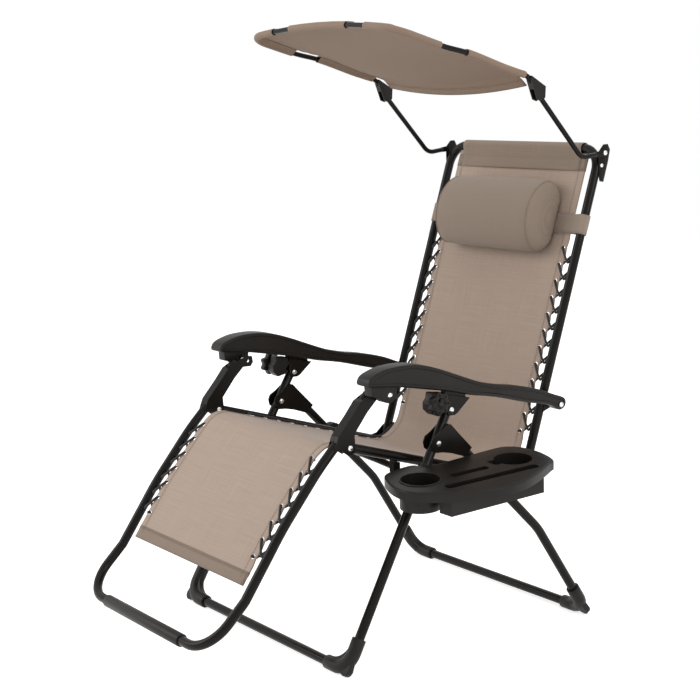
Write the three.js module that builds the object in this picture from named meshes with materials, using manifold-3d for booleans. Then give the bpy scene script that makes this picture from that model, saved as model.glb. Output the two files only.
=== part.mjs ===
// Canopy lounge chair: a reclining tube chair with a laced sling, a canopy, a head pillow and a side tray.
// Lengths are in millimetres. The sitter faces -Y, +X is the sitter's left side and +Z is up.
// Each sub-part is built where it stands, with the mid-plane of the chair at X = 0 and the floor at Z = 0.

import * as THREE from 'three';
import { mergeVertices } from 'three/addons/utils/BufferGeometryUtils.js';
import Module from 'manifold-3d';

const wasm = await Module();
wasm.setup();

// Sizes shared by many pieces
const CLEARANCE = 0.3;
const OVERRUN = 4;
const TUBE_RADIUS = 11;
const RAIL_X = 275;
const PLATE_THICKNESS = 2.5;
const ARC_STEP = THREE.MathUtils.degToRad(24);
const TUBE_SIDES = 10;

// Pivots in side view
const KNEE_Y = -329;
const KNEE_Z = 499;
const HIP_Y = 165;
const HIP_Z = 358.5;
const SEAT_PIVOT_Y = 37;
const ARM_FRONT_Y = -244;
const ARM_FRONT_Z = 612;
const ARM_REAR_Y = 270;
const ARM_REAR_Z = 533;
const LOCK_Z = 562;
const LEG_HINGE_Z = 490;

// Front legs
const FRONT_FOOT_X = 336.6;
const FRONT_FOOT_Y = -373.6;
const BAR_Z = 15;
const FOOT_BEND_RADIUS = 40;
const POST_TOP_X = 315.5;
const POST_TOP_Y = -71.1;
const POST_TOP_Z = 575;

// Rear legs
const REAR_TOP_X = 318;
const REAR_TOP_Y = -72;
const REAR_TOP_Z = 500;
const REAR_KINK_X = 326;
const REAR_KINK_Y = 195;
const REAR_KINK_Z = 243;
const REAR_KINK_RADIUS = 150;
const REAR_FOOT_X = 333.4;
const REAR_FOOT_Y = 350.4;
const SPACER_RADIUS = 22;

// Feet
const FOOT_SLEEVE_RADIUS = 16;
const FOOT_COLLAR_LENGTH = 74;
const FOOT_WEB_HALF_THICKNESS = 7;
const FOOT_WEB_REACH = 62;
const FOOT_OUTER_REACH = 2;

// Leg rest
const LEG_REST_REACH = 363;
const LEG_REST_DROP = 396;
const LEG_REST_CORNER_RADIUS = 78;
const FOOTREST_SLEEVE_RADIUS = 14.5;
const FOOTREST_SLEEVE_HALF_LENGTH = 170;
const legRestRouteShares = [
  [-0.157, -0.285], [-0.08, -0.199], [0.055, -0.045], [0.209, 0.104], [0.342, 0.253],
  [0.471, 0.402], [0.584, 0.553], [0.736, 0.758], [1, 1],
];

// Back frame
const BACK_LOW_Z = 349;
const BACK_AT_HIP_Y = 194.65;
const BACK_TOP_Z = 1135;
const BACK_LEAN_SHARE = 0.3;
const BACK_CORNER_RADIUS = 55;

// Seat
const RAIL_END = 8;
const BOW_Y = -196;
const BOW_Z = 436;
const BOW_RISE = 12;
const BOW_RADIUS = 8;
const BOW_PLATE_HALF_LENGTH = 9;
const BOW_PLATE_HALF_WIDTH = 8;
const BOW_PLATE_DROP = 11;

// Sling and lacing
const SLING_THICKNESS = 2.4;
const SLING_HALF_WIDTH = 240;
const EYELET_X = 230;
const EYELET_HALF = 2.85;
const EYELET_PITCH = 41.5;
const HIP_CURVE_RADIUS = 85;
const KNEE_CURVE_RADIUS = 60;
const SECTION_GAP = 3;
const SLING_END_DROP = 277;
const SLING_SLEEVE_WALL = 2;
const CORD_RADIUS = 2.5;
const CORD_WRAP_RADIUS = 15.95;
const CORD_LIFT = 4.2;
const CORD_SIDES = 5;
const BACK_EYELETS_DROP = 239;
const BACK_LACING_END = 90;
const SEAT_EYELETS = 11;
const LEG_EYELETS = 7;
const LEG_EYELETS_TOP_Z = 473;

// Armrests
const ARMREST_LENGTH = 632;
const ARMREST_FRONT_INNER_X = 282;
const ARMREST_REAR_INNER_X = 289.2;
const ARMREST_FRONT_OUTER_X = 332;
const ARMREST_REAR_OUTER_X = 321;
const ARMREST_BEVEL = 5;
const LUG_SIZE = 54;
const LUG_INNER_X = 290.5;
const LUG_OUTER_X = 319.7;
const GROOVE_HALF_WIDTH = 9.5;
const GROOVE_ROOF = 34.6;
const GROOVE_FRONT = 22;
const GROOVE_BACK = 217;
const armrestOutlineShares = [
  [-0.158, 0.051], [-0.078, 0.036], [0.021, 0.027], [0.073, 0.019], [0.147, 0.006], [0.259, -0.014],
  [0.358, -0.038], [0.481, -0.059], [0.636, -0.097], [0.752, -0.12], [0.791, -0.138], [0.813, -0.146],
  [0.835, -0.136], [0.84, -0.114], [0.826, -0.098], [0.778, -0.082], [0.709, -0.057], [0.641, -0.041],
  [0.574, -0.028], [0.509, -0.019], [0.415, 0], [0.323, 0.03], [0.228, 0.065], [0.149, 0.09],
  [0.07, 0.103], [-0.027, 0.106], [-0.095, 0.093], [-0.123, 0.084], [-0.149, 0.07],
];
const lugOutlineShares = [
  [-0.333, 0.611], [-0.352, -0.148], [-0.222, -0.333], [0.148, -0.37], [0.296, -0.222], [0.333, 0.611],
];

// Rivets
const RIVET_RADIUS = 3.2;
const RIVET_HEAD_RADIUS = 6.5;
const RIVET_CROWN_SHARE = 0.6;
const RIVET_HEAD_HEIGHT = 2.6;
const RIVET_SIDES = 8;
const OPEN_PIVOT_CLEARANCE = 2.2;

// Brackets at the knee, the hip and the top of the rear legs
const KNEE_GUSSET_LENGTH = 100;
const KNEE_GUSSET_HEIGHT = 130;
const HIP_GUSSET_SIZE = 60;
const LEG_BRACKET_LENGTH = 120;
const LEG_BRACKET_HEIGHT = 80;
const LEG_BRACKET_HALF_GAP = 13;
const ARM_TAB_HALF_HEIGHT = 13;
const ARM_TAB_REACH = 10;
const kneeGussetOutlineShares = [
  [0.13, -0.1], [0.13, 0.069], [0.11, 0.223], [0.45, 0.562], [0.71, 0.762], [0.93, 0.762], [1, 0.838],
  [0.97, 0.954], [0.85, 0.969], [0.63, 0.915], [0.43, 0.831], [0.27, 0.762], [0.06, 0.554], [-0.32, 0.215],
  [-0.43, -0.015], [-0.23, -0.038], [-0.05, -0.131],
];
const hipGussetOutlineShares = [
  [-0.217, -0.208], [0, -0.292], [0.683, -0.292], [0.883, -0.142], [1.017, 0.608], [0.817, 0.725],
  [0.517, 0.558], [0.183, 0.258], [-0.117, 0.208], [-0.25, -0.008],
];
const legBracketOutlineShares = [
  [0.815, -0.271], [0.455, 0.249], [0.292, 0.494], [0.175, 0.5], [-0.008, 0.287], [-0.142, 0.175],
  [-0.183, 0.025], [-0.158, -0.15], [-0.058, -0.263], [0.092, -0.275], [0.308, -0.338], [0.66, -0.512],
];

// Recline lock: the slide bracket on the post, its housing and its star knob
const LOCK_X = 316;
const LOCK_BRACKET_LENGTH = 75;
const LOCK_BRACKET_HEIGHT = 50;
const LOCK_BRACKET_HALF_GAP = 12;
const LOCK_WEB = 4;
const TONGUE_HALF_WIDTH = 8;
const TONGUE_HALF_LENGTH = 30;
const TONGUE_CENTRE_Y = -62;
const TONGUE_CLEARANCE = 4.5;
const HOUSING_LENGTH = 60;
const HOUSING_HEIGHT = 50;
const HOUSING_INNER_X = 303;
const HOUSING_OUTER_X = 330;
const KNOB_Y = -125;
const KNOB_Z = 583;
const KNOB_INNER_X = 334;
const KNOB_OUTER_X = 351;
const KNOB_RADIUS = 25;
const KNOB_LOBE = 3;
const KNOB_LOBES = 7;
const KNOB_HUB_RADIUS = 9;
const KNOB_BEVEL = 3;
const lockBracketOutlineShares = [
  [-0.133, -0.18], [-0.08, -0.26], [0.133, -0.26], [0.24, -0.18], [0.72, 0.44], [-0.227, 0.72],
];
const HOUSING_SEAT_LOW_Z = 583;
const HOUSING_SEAT_TOP_Z = 602;
const housingOutlineShares = [
  [-0.9, 0.88], [-0.933, 0.6], [-1.067, 0.4], [-1.033, 0.08], [-0.8, -0.16], [-0.383, -0.04], [-0.383, 0.22],
];

// Canopy
const CANOPY_X = 290;
const ROD_RADIUS = 6;
const ROD_SIDES = 8;
const CANOPY_HEAD_REACH = 218;
const CANOPY_HEAD_LIFT = 136;
const CANOPY_ARM_BEND_REACH = 76;
const CANOPY_ARM_BEND_DROP = 11;
const CANOPY_ARM_BEND_RADIUS = 35;
const CANOPY_ARM_TAB_LEAD = 30;
const CANOPY_ARM_TAB_REACH = 9;
const CANOPY_ARM_TAB_THICKNESS = 3.6;
const CANOPY_ARM_TAB_HALF_HEIGHT = 6;
const CANOPY_LENGTH = 418;
const CANOPY_RISE = 139;
const CANOPY_CORNER_RADIUS = 50;
const CANOPY_FRONT_CROWN = 18;
const CANOPY_REAR_SAG = 24;
const CANOPY_HEAD_GAP = 13;
const CANOPY_CLOTH_THICKNESS = 1.6;
const CANOPY_SLEEVE_WALL = 1.7;
const CANOPY_SLEEVE_LEAD = 43;
const CANOPY_HEM_LEAD = 8;
const CANOPY_HEM_HALF_WIDTH = 258;
const CANOPY_SHOULDER_LEAD = 33;
const SIDE_CUTOUT_FRONT_LEAD = 293;
const SIDE_CUTOUT_BACK_LEAD = 220;
const FRONT_CUTOUT_X = 146;
const FRONT_CUTOUT_HALF_WIDTH = 32;
const CUTOUT_REACH = 12;
const CUTOUT_HALF_HEIGHT = 40;
const FITTING_CHEEK = 3;
const FITTING_SIZE = 40;
const FITTING_WEB = 3;
const FITTING_PIN_RADIUS = 2.4;
const headRouteShares = [
  [1, 0], [0.914, 0.209], [0.84, 0.273], [0.727, 0.36], [0.502, 0.554], [0.323, 0.655], [0.144, 0.791], [0, 0.906],
];
const fittingOutlineShares = [
  [-0.3, -0.25], [0, -0.35], [0.325, -0.15], [0.35, 0.5], [-0.3, 0.85], [-0.75, 1.1], [-0.8, 0.95],
];

// Top brackets of the back frame
const CANOPY_PIVOT_LEAD = 1.6;
const CANOPY_PIVOT_DROP = 9;
const TOP_BRACKET_LENGTH = 48;
const TOP_BRACKET_HEIGHT = 90;
const TOP_BRACKET_THICKNESS = 2.2;
const CANOPY_PIN_RADIUS = 3;
const CANOPY_PIN_HEAD_RADIUS = 6;
const CANOPY_PIN_HEAD = 2.5;
const topBracketOutlineShares = [
  [-0.25, -0.756], [0, -0.778], [0.292, -0.244], [0.417, 0.089], [0.25, 0.233], [-0.042, 0.222],
  [-0.34, 0.05], [-0.34, -0.1], [-0.3, -0.644],
];

// Head pillow and its strap
const PILLOW_HALF_LENGTH = 232;
const PILLOW_DROP = 170;
const PILLOW_HALF_HEIGHT = 93;
const PILLOW_DEPTH = 92;
const PILLOW_BACK_GAP = 5.5;
const STRAP_DROP = 11;
const STRAP_HALF_WIDTH = 24;
const STRAP_THICKNESS = 1.6;
const STRAP_WRAP_RADIUS = 12.2;
const STRAP_SHEET_GAP = 3.2;
const pillowRingShares = [[-1, 0.74], [-0.97, 0.9], [-0.86, 1], [0, 1.03], [0.86, 1], [0.97, 0.9], [1, 0.74]];
const pillowSectionShares = [
  [0, -0.62], [0, 0], [0, 0.62], [0.1, 0.86], [0.3, 0.98], [0.55, 0.93], [0.78, 0.72],
  [0.95, 0.38], [1, 0], [0.95, -0.38], [0.78, -0.72], [0.55, -0.93], [0.3, -0.98], [0.1, -0.86],
];

// Side tray
const TRAY_CENTRE_X = 430;
const TRAY_CENTRE_Y = -97;
const TRAY_CENTRE_Z = 444;
const TRAY_WIDTH = 256;
const TRAY_LENGTH = 400;
const TRAY_SKIRT = 22;
const TRAY_WALL = 3;
const TRAY_INSET_SHARE = 0.972;
const TRAY_PITCH = Math.atan(0.08);
const TRAY_ROLL = Math.atan(0.05);
const CUP_RADIUS = 43.5;
const CUP_WALL = 2.6;
const CUP_DEPTH = 62;
const CUP_SIDES = 20;
const FRONT_CUP_X = 402;
const FRONT_CUP_Y = -225;
const REAR_CUP_X = 426;
const REAR_CUP_Y = 23;
const REAR_NOTCH_X = 419.5;
const REAR_NOTCH_WIDTH = 33;
const REAR_NOTCH_REACH = 59;
const BOX_DEPTH = 58;
const BOX_X = 455;
const BOX_Y = -90;
const BOX_WIDTH = 120;
const BOX_LENGTH = 270;
const SLOT_X = 429.5;
const SLOT_Y = -108;
const SLOT_LENGTH = 100;
const SLOT_WIDTH = 20;
const GROOVE_X = 488;
const GROOVE_Y = -92;
const GROOVE_LENGTH = 246;
const GROOVE_WIDTH = 23;
const POCKET_TURN = THREE.MathUtils.degToRad(4.8);
const HOOK_RADIUS = 16.5;
const HOOK_MOUTH_HALF = 8;
const trayBoxOutlineShares = [
  [0.108, -0.504], [0.417, -0.493], [0.542, 0.444], [0.375, 0.496],
  [-0.125, 0.496], [-0.458, 0.333], [-0.458, -0.278], [-0.125, -0.289],
];
const trayOutlineShares = [
  [-0.422, -0.412], [-0.234, -0.475], [-0.051, -0.5], [0.098, -0.48], [0.246, -0.393], [0.422, -0.198],
  [0.5, -0.043], [0.48, 0.117], [0.395, 0.268], [0.285, 0.407], [0.227, 0.463], [0.008, 0.5],
  [-0.211, 0.485], [-0.332, 0.422], [-0.359, 0.335], [-0.359, 0.098], [-0.359, -0.077], [-0.422, -0.158],
  [-0.484, -0.198], [-0.477, -0.312],
];

// Materials
function material(colour, roughness, metalness) {
  return new THREE.MeshStandardMaterial({ color: colour, roughness, metalness });
}

const paintedSteel = () => material(0x1d1715, 0.32, 0.35);
const moulded = () => material(0x28211e, 0.55, 0);
const bright = () => material(0xc9c9c6, 0.3, 0.9);
const fabric = () => material(0x9d8975, 0.9, 0);
const cord = () => material(0x14110f, 0.8, 0);

// Points and lines
const X_AXIS = new THREE.Vector3(1, 0, 0);
const Y_AXIS = new THREE.Vector3(0, 1, 0);
const Z_AXIS = new THREE.Vector3(0, 0, 1);

function point(x, y, z) {
  return new THREE.Vector3(x, y, z);
}

function alongHeight(low, high, z) {
  return low.clone().lerp(high, (z - low.z) / (high.z - low.z));
}

function outlinePoints(shares, originY, originZ, length, height) {
  return shares.map(([y, z]) => new THREE.Vector2(originY + y * length, originZ + z * height));
}

// A route with its corners rounded by arcs
function roundedRoute(corners, radii) {
  const points = [corners[0].clone()];
  for (let index = 1; index < corners.length - 1; index += 1) {
    const corner = corners[index];
    const radius = radii[index] ?? 0;
    if (radius === 0) {
      points.push(corner.clone());
      continue;
    }
    const back = corners[index - 1].clone().sub(corner).normalize();
    const ahead = corners[index + 1].clone().sub(corner).normalize();
    const turn = Math.PI - back.angleTo(ahead);
    const middle = back.clone().add(ahead).normalize();
    const centre = corner.clone().addScaledVector(middle, radius / Math.cos(turn / 2));
    const first = corner.clone().addScaledVector(back, radius * Math.tan(turn / 2)).sub(centre);
    const last = corner.clone().addScaledVector(ahead, radius * Math.tan(turn / 2)).sub(centre);
    const axis = first.clone().cross(last).normalize();
    const steps = Math.max(1, Math.ceil(turn / ARC_STEP));
    for (let step = 0; step <= steps; step += 1) {
      points.push(first.clone().applyAxisAngle(axis, (turn * step) / steps).add(centre));
    }
  }
  points.push(corners[corners.length - 1].clone());
  return points;
}

class Route extends THREE.Curve {
  constructor(points) {
    super();
    this.points = points;
  }

  getPoint(share) {
    const place = share * (this.points.length - 1);
    const index = Math.min(Math.floor(place + 1e-9), this.points.length - 2);
    return this.points[index].clone().lerp(this.points[index + 1], place - index);
  }

  getPointAt(share) {
    return this.getPoint(share);
  }

  getTangentAt(share) {
    const index = Math.round(share * (this.points.length - 1));
    const tangent = point(0, 0, 0);
    if (index > 0) {
      tangent.add(this.points[index].clone().sub(this.points[index - 1]).normalize());
    }
    if (index < this.points.length - 1) {
      tangent.add(this.points[index + 1].clone().sub(this.points[index]).normalize());
    }
    return tangent.normalize();
  }
}

function tube(points, radius, sides) {
  const section = new THREE.Shape();
  for (let side = 0; side < sides; side += 1) {
    const angle = (2 * Math.PI * (side + 0.5)) / sides;
    section[side === 0 ? 'moveTo' : 'lineTo'](radius * Math.cos(angle), radius * Math.sin(angle));
  }
  return new THREE.ExtrudeGeometry(section, { steps: points.length - 1, extrudePath: new Route(points) });
}

function around(radius, gap, sides) {
  return (radius + gap) / Math.cos(Math.PI / sides);
}

function lengthened(points, extra) {
  const longer = points.map((place) => place.clone());
  const last = points.length - 1;
  longer[0].addScaledVector(points[0].clone().sub(points[1]).normalize(), extra);
  longer[last].addScaledVector(points[last].clone().sub(points[last - 1]).normalize(), extra);
  return longer;
}

// A flat plate drawn in side view and standing across X
function plate(outline, lowX, highX, bevel = 0) {
  const geometry = new THREE.ExtrudeGeometry(new THREE.Shape(outline), {
    depth: highX - lowX - 2 * bevel,
    bevelEnabled: bevel > 0,
    bevelThickness: bevel,
    bevelSize: bevel,
    bevelOffset: -bevel,
    bevelSegments: 2,
    curveSegments: 4,
  });
  geometry.applyMatrix4(new THREE.Matrix4().makeBasis(Y_AXIS, Z_AXIS, X_AXIS));
  return geometry.translate(lowX + bevel, 0, 0);
}

function pin(lowX, highX, y, z, radius, sides = RIVET_SIDES) {
  const geometry = new THREE.CylinderGeometry(radius, radius, highX - lowX, sides);
  geometry.rotateY(Math.PI / sides).rotateZ(Math.PI / 2);
  return geometry.translate((lowX + highX) / 2, y, z);
}

// A rivet along X: its shaft runs between two faces and its heads lie outside them
function rivet(lowX, highX, y, z) {
  const head = RIVET_HEAD_HEIGHT + CLEARANCE;
  const full = highX - lowX + 2 * head;
  const profile = [
    [0, 0], [RIVET_HEAD_RADIUS * RIVET_CROWN_SHARE, 0], [RIVET_HEAD_RADIUS, RIVET_HEAD_HEIGHT], [RIVET_RADIUS, RIVET_HEAD_HEIGHT],
    [RIVET_RADIUS, full - RIVET_HEAD_HEIGHT], [RIVET_HEAD_RADIUS, full - RIVET_HEAD_HEIGHT],
    [RIVET_HEAD_RADIUS * RIVET_CROWN_SHARE, full], [0, full],
  ];
  const geometry = new THREE.LatheGeometry(profile.map(([r, h]) => new THREE.Vector2(r, h)), RIVET_SIDES);
  geometry.rotateY(Math.PI / RIVET_SIDES).rotateZ(-Math.PI / 2);
  return geometry.translate(lowX - head, y, z);
}

function rivetHole(lowX, highX, y, z, gap = CLEARANCE) {
  return pin(lowX - OVERRUN, highX + OVERRUN, y, z, around(RIVET_RADIUS, gap, RIVET_SIDES));
}

// Solids for joining and cutting
function solid(geometry) {
  const plain = geometry.clone();
  plain.deleteAttribute('normal');
  plain.deleteAttribute('uv');
  const welded = mergeVertices(plain, 1e-4);
  return new wasm.Manifold(new wasm.Mesh({
    numProp: 3,
    vertProperties: new Float32Array(welded.attributes.position.array),
    triVerts: new Uint32Array(welded.index.array),
  }));
}

function surface(body) {
  const mesh = body.getMesh();
  const geometry = new THREE.BufferGeometry();
  const positions = [];
  for (let vertex = 0; vertex < mesh.vertProperties.length; vertex += mesh.numProp) {
    positions.push(...mesh.vertProperties.slice(vertex, vertex + 3));
  }
  geometry.setAttribute('position', new THREE.Float32BufferAttribute(positions, 3));
  geometry.setIndex([...mesh.triVerts]);
  geometry.computeVertexNormals();
  return geometry;
}

function joined(...geometries) {
  return geometries.map(solid).reduce((whole, extra) => whole.add(extra));
}

function cut(body, ...geometries) {
  return geometries.map(solid).reduce((whole, tool) => whole.subtract(tool), body);
}

function mirrored(geometry) {
  const copy = geometry.index ? geometry.clone() : mergeVertices(geometry.clone(), 1e-4);
  copy.applyMatrix4(new THREE.Matrix4().makeScale(-1, 1, 1));
  const order = [...copy.index.array];
  for (let corner = 0; corner < order.length; corner += 3) {
    [order[corner + 1], order[corner + 2]] = [order[corner + 2], order[corner + 1]];
  }
  copy.setIndex(order);
  copy.computeVertexNormals();
  return copy;
}

// A closed sheet of even thickness on a grid of places; cells named by isOpen are left out
function sheet(grid, thickness, isOpen = () => false) {
  const rows = grid.length;
  const columns = grid[0].length;
  const positions = [];
  const triangles = [];
  const at = (row, column) => grid[Math.min(Math.max(row, 0), rows - 1)][Math.min(Math.max(column, 0), columns - 1)];
  for (const side of [0.5, -0.5]) {
    for (let row = 0; row < rows; row += 1) {
      for (let column = 0; column < columns; column += 1) {
        const down = at(row + 1, column).clone().sub(at(row - 1, column));
        const across = at(row, column + 1).clone().sub(at(row, column - 1));
        const normal = across.cross(down).normalize();
        positions.push(...at(row, column).clone().addScaledVector(normal, side * thickness).toArray());
      }
    }
  }
  const top = (row, column) => row * columns + column;
  const under = (row, column) => rows * columns + top(row, column);
  const kept = (row, column) => row >= 0 && column >= 0 && row < rows - 1 && column < columns - 1 && !isOpen(row, column);
  const wall = ([r0, c0], [r1, c1]) => {
    triangles.push(top(r0, c0), under(r0, c0), top(r1, c1), top(r1, c1), under(r0, c0), under(r1, c1));
  };
  for (let row = 0; row < rows - 1; row += 1) {
    for (let column = 0; column < columns - 1; column += 1) {
      if (!kept(row, column)) {
        continue;
      }
      const [a, b, c, d] = [[row, column], [row, column + 1], [row + 1, column + 1], [row + 1, column]];
      triangles.push(top(...a), top(...b), top(...c), top(...a), top(...c), top(...d));
      triangles.push(under(...a), under(...c), under(...b), under(...a), under(...d), under(...c));
      if (!kept(row - 1, column)) {
        wall(a, b);
      }
      if (!kept(row, column + 1)) {
        wall(b, c);
      }
      if (!kept(row + 1, column)) {
        wall(c, d);
      }
      if (!kept(row, column - 1)) {
        wall(d, a);
      }
    }
  }
  const geometry = new THREE.BufferGeometry();
  geometry.setAttribute('position', new THREE.Float32BufferAttribute(positions, 3));
  geometry.setIndex(triangles);
  geometry.computeVertexNormals();
  return geometry;
}

// A closed body through rings of places, with a fan on each end
function loft(rings) {
  const count = rings[0].length;
  const positions = rings.flat().flatMap((place) => place.toArray());
  const triangles = [];
  for (let ring = 0; ring < rings.length - 1; ring += 1) {
    for (let step = 0; step < count; step += 1) {
      const here = ring * count + step;
      const next = ring * count + ((step + 1) % count);
      triangles.push(here, next, next + count, here, next + count, here + count);
    }
  }
  for (const [ring, forward] of [[0, false], [rings.length - 1, true]]) {
    const centre = positions.length / 3;
    const middle = rings[ring].reduce((sum, place) => sum.add(place), point(0, 0, 0)).divideScalar(count);
    positions.push(...middle.toArray());
    for (let step = 0; step < count; step += 1) {
      const here = ring * count + step;
      const next = ring * count + ((step + 1) % count);
      triangles.push(...(forward ? [here, next, centre] : [next, here, centre]));
    }
  }
  const geometry = new THREE.BufferGeometry();
  geometry.setAttribute('position', new THREE.Float32BufferAttribute(positions, 3));
  geometry.setIndex(triangles);
  geometry.computeVertexNormals();
  return geometry;
}

// Named pieces
const chair = new THREE.Group();

function addPiece(name, geometry, look, parent = chair) {
  const mesh = new THREE.Mesh(geometry, look);
  mesh.name = name;
  parent.add(mesh);
  return mesh;
}

function addPair(name, geometry, look, parent = chair) {
  addPiece(`${name}_left`, geometry, look(), parent);
  addPiece(`${name}_right`, mirrored(geometry), look(), parent);
}

function withSides(leftRoute) {
  const rightRoute = leftRoute.map((place) => point(-place.x, place.y, place.z)).reverse();
  return [...leftRoute, ...rightRoute];
}

// Front legs: one bent tube, its posts leaning back to the recline locks
const frontLegs = new THREE.Group();
const postTop = point(POST_TOP_X, POST_TOP_Y, POST_TOP_Z);
const frontCorner = point(FRONT_FOOT_X, FRONT_FOOT_Y, BAR_Z);
const frontRoute = roundedRoute(
  [postTop, frontCorner, ...withSides([frontCorner]).slice(1), point(-POST_TOP_X, POST_TOP_Y, POST_TOP_Z)],
  [0, FOOT_BEND_RADIUS, FOOT_BEND_RADIUS, 0],
);
const legHinge = alongHeight(frontCorner, postTop, LEG_HINGE_Z);
const lockPivot = alongHeight(frontCorner, postTop, LOCK_Z);
const postHoles = [1, -1].flatMap((side) => [legHinge, lockPivot].map((place) => (
  rivetHole(side * place.x - 2 * TUBE_RADIUS, side * place.x + 2 * TUBE_RADIUS, place.y, place.z)
)));
const frontFrame = surface(cut(solid(tube(frontRoute, TUBE_RADIUS, TUBE_SIDES)), ...postHoles));
addPiece('front_leg_frame', frontFrame, paintedSteel(), frontLegs);
const postSpace = tube(lengthened([postTop, frontCorner], OVERRUN), around(TUBE_RADIUS, CLEARANCE, TUBE_SIDES), TUBE_SIDES);

// Feet: a web in the corner of leg and bar, with a collar on each tube and a flat sole
function foot(corner, legPoint) {
  const upLeg = legPoint.clone().sub(corner).normalize();
  const along = point(-1, 0, 0);
  const across = along.clone().cross(upLeg).normalize();
  const ends = [
    corner.clone().addScaledVector(upLeg, FOOT_COLLAR_LENGTH),
    corner.clone(),
    corner.clone().addScaledVector(along, FOOT_COLLAR_LENGTH),
  ];
  const route = roundedRoute(ends, [0, FOOT_BEND_RADIUS, 0]);
  const web = new THREE.Shape();
  web.moveTo(FOOT_OUTER_REACH, -FOOT_SLEEVE_RADIUS);
  web.absarc(FOOT_OUTER_REACH, FOOT_OUTER_REACH, FOOT_SLEEVE_RADIUS, -Math.PI / 2, -Math.PI, true);
  web.lineTo(0, FOOT_WEB_REACH);
  web.absarc(FOOT_WEB_REACH, FOOT_WEB_REACH, FOOT_WEB_REACH - FOOT_SLEEVE_RADIUS, Math.PI, 1.5 * Math.PI, false);
  web.lineTo(FOOT_WEB_REACH, 0);
  const webGeometry = new THREE.ExtrudeGeometry(web, {
    depth: 2 * FOOT_WEB_HALF_THICKNESS,
    bevelEnabled: false,
    curveSegments: 4,
  });
  webGeometry.translate(0, 0, -FOOT_WEB_HALF_THICKNESS);
  const basis = new THREE.Matrix4().makeBasis(along, across.clone().cross(along).normalize(), across);
  webGeometry.applyMatrix4(basis).translate(corner.x, corner.y, corner.z);
  const under = new THREE.BoxGeometry(2 * FOOT_COLLAR_LENGTH + 2 * LEG_REST_REACH, LEG_REST_REACH, BAR_Z);
  under.translate(corner.x, corner.y, -BAR_Z / 2);
  const body = joined(tube(route, FOOT_SLEEVE_RADIUS, TUBE_SIDES), webGeometry);
  const space = tube(lengthened(route, OVERRUN), around(TUBE_RADIUS, CLEARANCE, TUBE_SIDES), TUBE_SIDES);
  return surface(cut(body, space, under));
}

addPair('front_foot', foot(frontCorner, postTop), moulded, frontLegs);

// Rear legs: hinged behind the posts, with a kink under the seat
const rearLegs = new THREE.Group();
const rearTop = point(REAR_TOP_X, REAR_TOP_Y, REAR_TOP_Z);
const rearKink = point(REAR_KINK_X, REAR_KINK_Y, REAR_KINK_Z);
const rearCorner = point(REAR_FOOT_X, REAR_FOOT_Y, BAR_Z);
const rearRoute = roundedRoute(
  withSides([rearTop, rearKink, rearCorner]),
  [0, REAR_KINK_RADIUS, FOOT_BEND_RADIUS, FOOT_BEND_RADIUS, REAR_KINK_RADIUS, 0],
);
addPiece('rear_leg_frame', tube(rearRoute, TUBE_RADIUS, TUBE_SIDES), paintedSteel(), rearLegs);
addPair('rear_foot', foot(rearCorner, rearKink), moulded, rearLegs);

// A channel bracket: two cheeks joined by a web that lies along one side of a tube
function channel(outline, centreX, halfGap, wall, tubeStart, tubeEnd, webSide) {
  const along = tubeEnd.clone().sub(tubeStart).setX(0).normalize();
  const outward = new THREE.Vector2(-along.z, along.y).multiplyScalar(webSide);
  const reach = LEG_REST_REACH;
  const face = TUBE_RADIUS + CLEARANCE;
  const start = new THREE.Vector2(tubeStart.y, tubeStart.z);
  const corner = (forward, side) => start.clone()
    .addScaledVector(new THREE.Vector2(along.y, along.z), forward)
    .addScaledVector(outward, side);
  const inside = [corner(-reach, face), corner(-reach, -reach), corner(reach, -reach), corner(reach, face)];
  if (THREE.ShapeUtils.isClockWise(inside)) {
    inside.reverse();
  }
  const whole = solid(plate(outline, centreX - halfGap - wall, centreX + halfGap + wall));
  return cut(whole, plate(inside, centreX - halfGap, centreX + halfGap));
}

// Hinge brackets of the rear legs: the web bears behind the post when the chair stands open
const legBracketOutline = outlinePoints(
  legBracketOutlineShares,
  legHinge.y,
  LEG_HINGE_Z,
  LEG_BRACKET_LENGTH,
  LEG_BRACKET_HEIGHT,
);
const legBracketX = (legHinge.x + rearTop.x) / 2;
const legBracketHalf = LEG_BRACKET_HALF_GAP + PLATE_THICKNESS;
const legBracket = cut(
  channel(legBracketOutline, legBracketX, LEG_BRACKET_HALF_GAP, PLATE_THICKNESS, rearTop, rearKink, 1),
  rivetHole(legBracketX - legBracketHalf, legBracketX + legBracketHalf, legHinge.y, LEG_HINGE_Z),
  postSpace,
);
addPair('leg_hinge_bracket', surface(legBracket), paintedSteel, rearLegs);
const legRivet = rivet(legBracketX - legBracketHalf, legBracketX + legBracketHalf, legHinge.y, LEG_HINGE_Z);
addPair('leg_hinge_rivet', legRivet, bright, frontLegs);

// Seat: two rails, a cross bow under them and the round spacers that bear on the rear legs
const seat = new THREE.Group();
const knee = point(RAIL_X, KNEE_Y, KNEE_Z);
const hip = point(RAIL_X, HIP_Y, HIP_Z);
const seatPivot = knee.clone().lerp(hip, (SEAT_PIVOT_Y - KNEE_Y) / (HIP_Y - KNEE_Y));
const railHoles = [knee, hip].map((place) => (
  rivetHole(RAIL_X - TUBE_RADIUS, RAIL_X + TUBE_RADIUS, place.y, place.z)
));
const railTube = tube(lengthened([knee, hip], RAIL_END), TUBE_RADIUS, TUBE_SIDES);
addPair('seat_rail', surface(cut(solid(railTube), ...railHoles)), paintedSteel, seat);

const spacerInner = RAIL_X + TUBE_RADIUS + CLEARANCE;
const rearLegAtSeat = alongHeight(rearKink, rearTop, seatPivot.z);
const spacerOuter = rearLegAtSeat.x - TUBE_RADIUS - CLEARANCE;
const spacer = pin(spacerInner, spacerOuter, seatPivot.y, seatPivot.z, SPACER_RADIUS, TUBE_SIDES);
addPair('seat_pivot_spacer', spacer, moulded, rearLegs);

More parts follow.
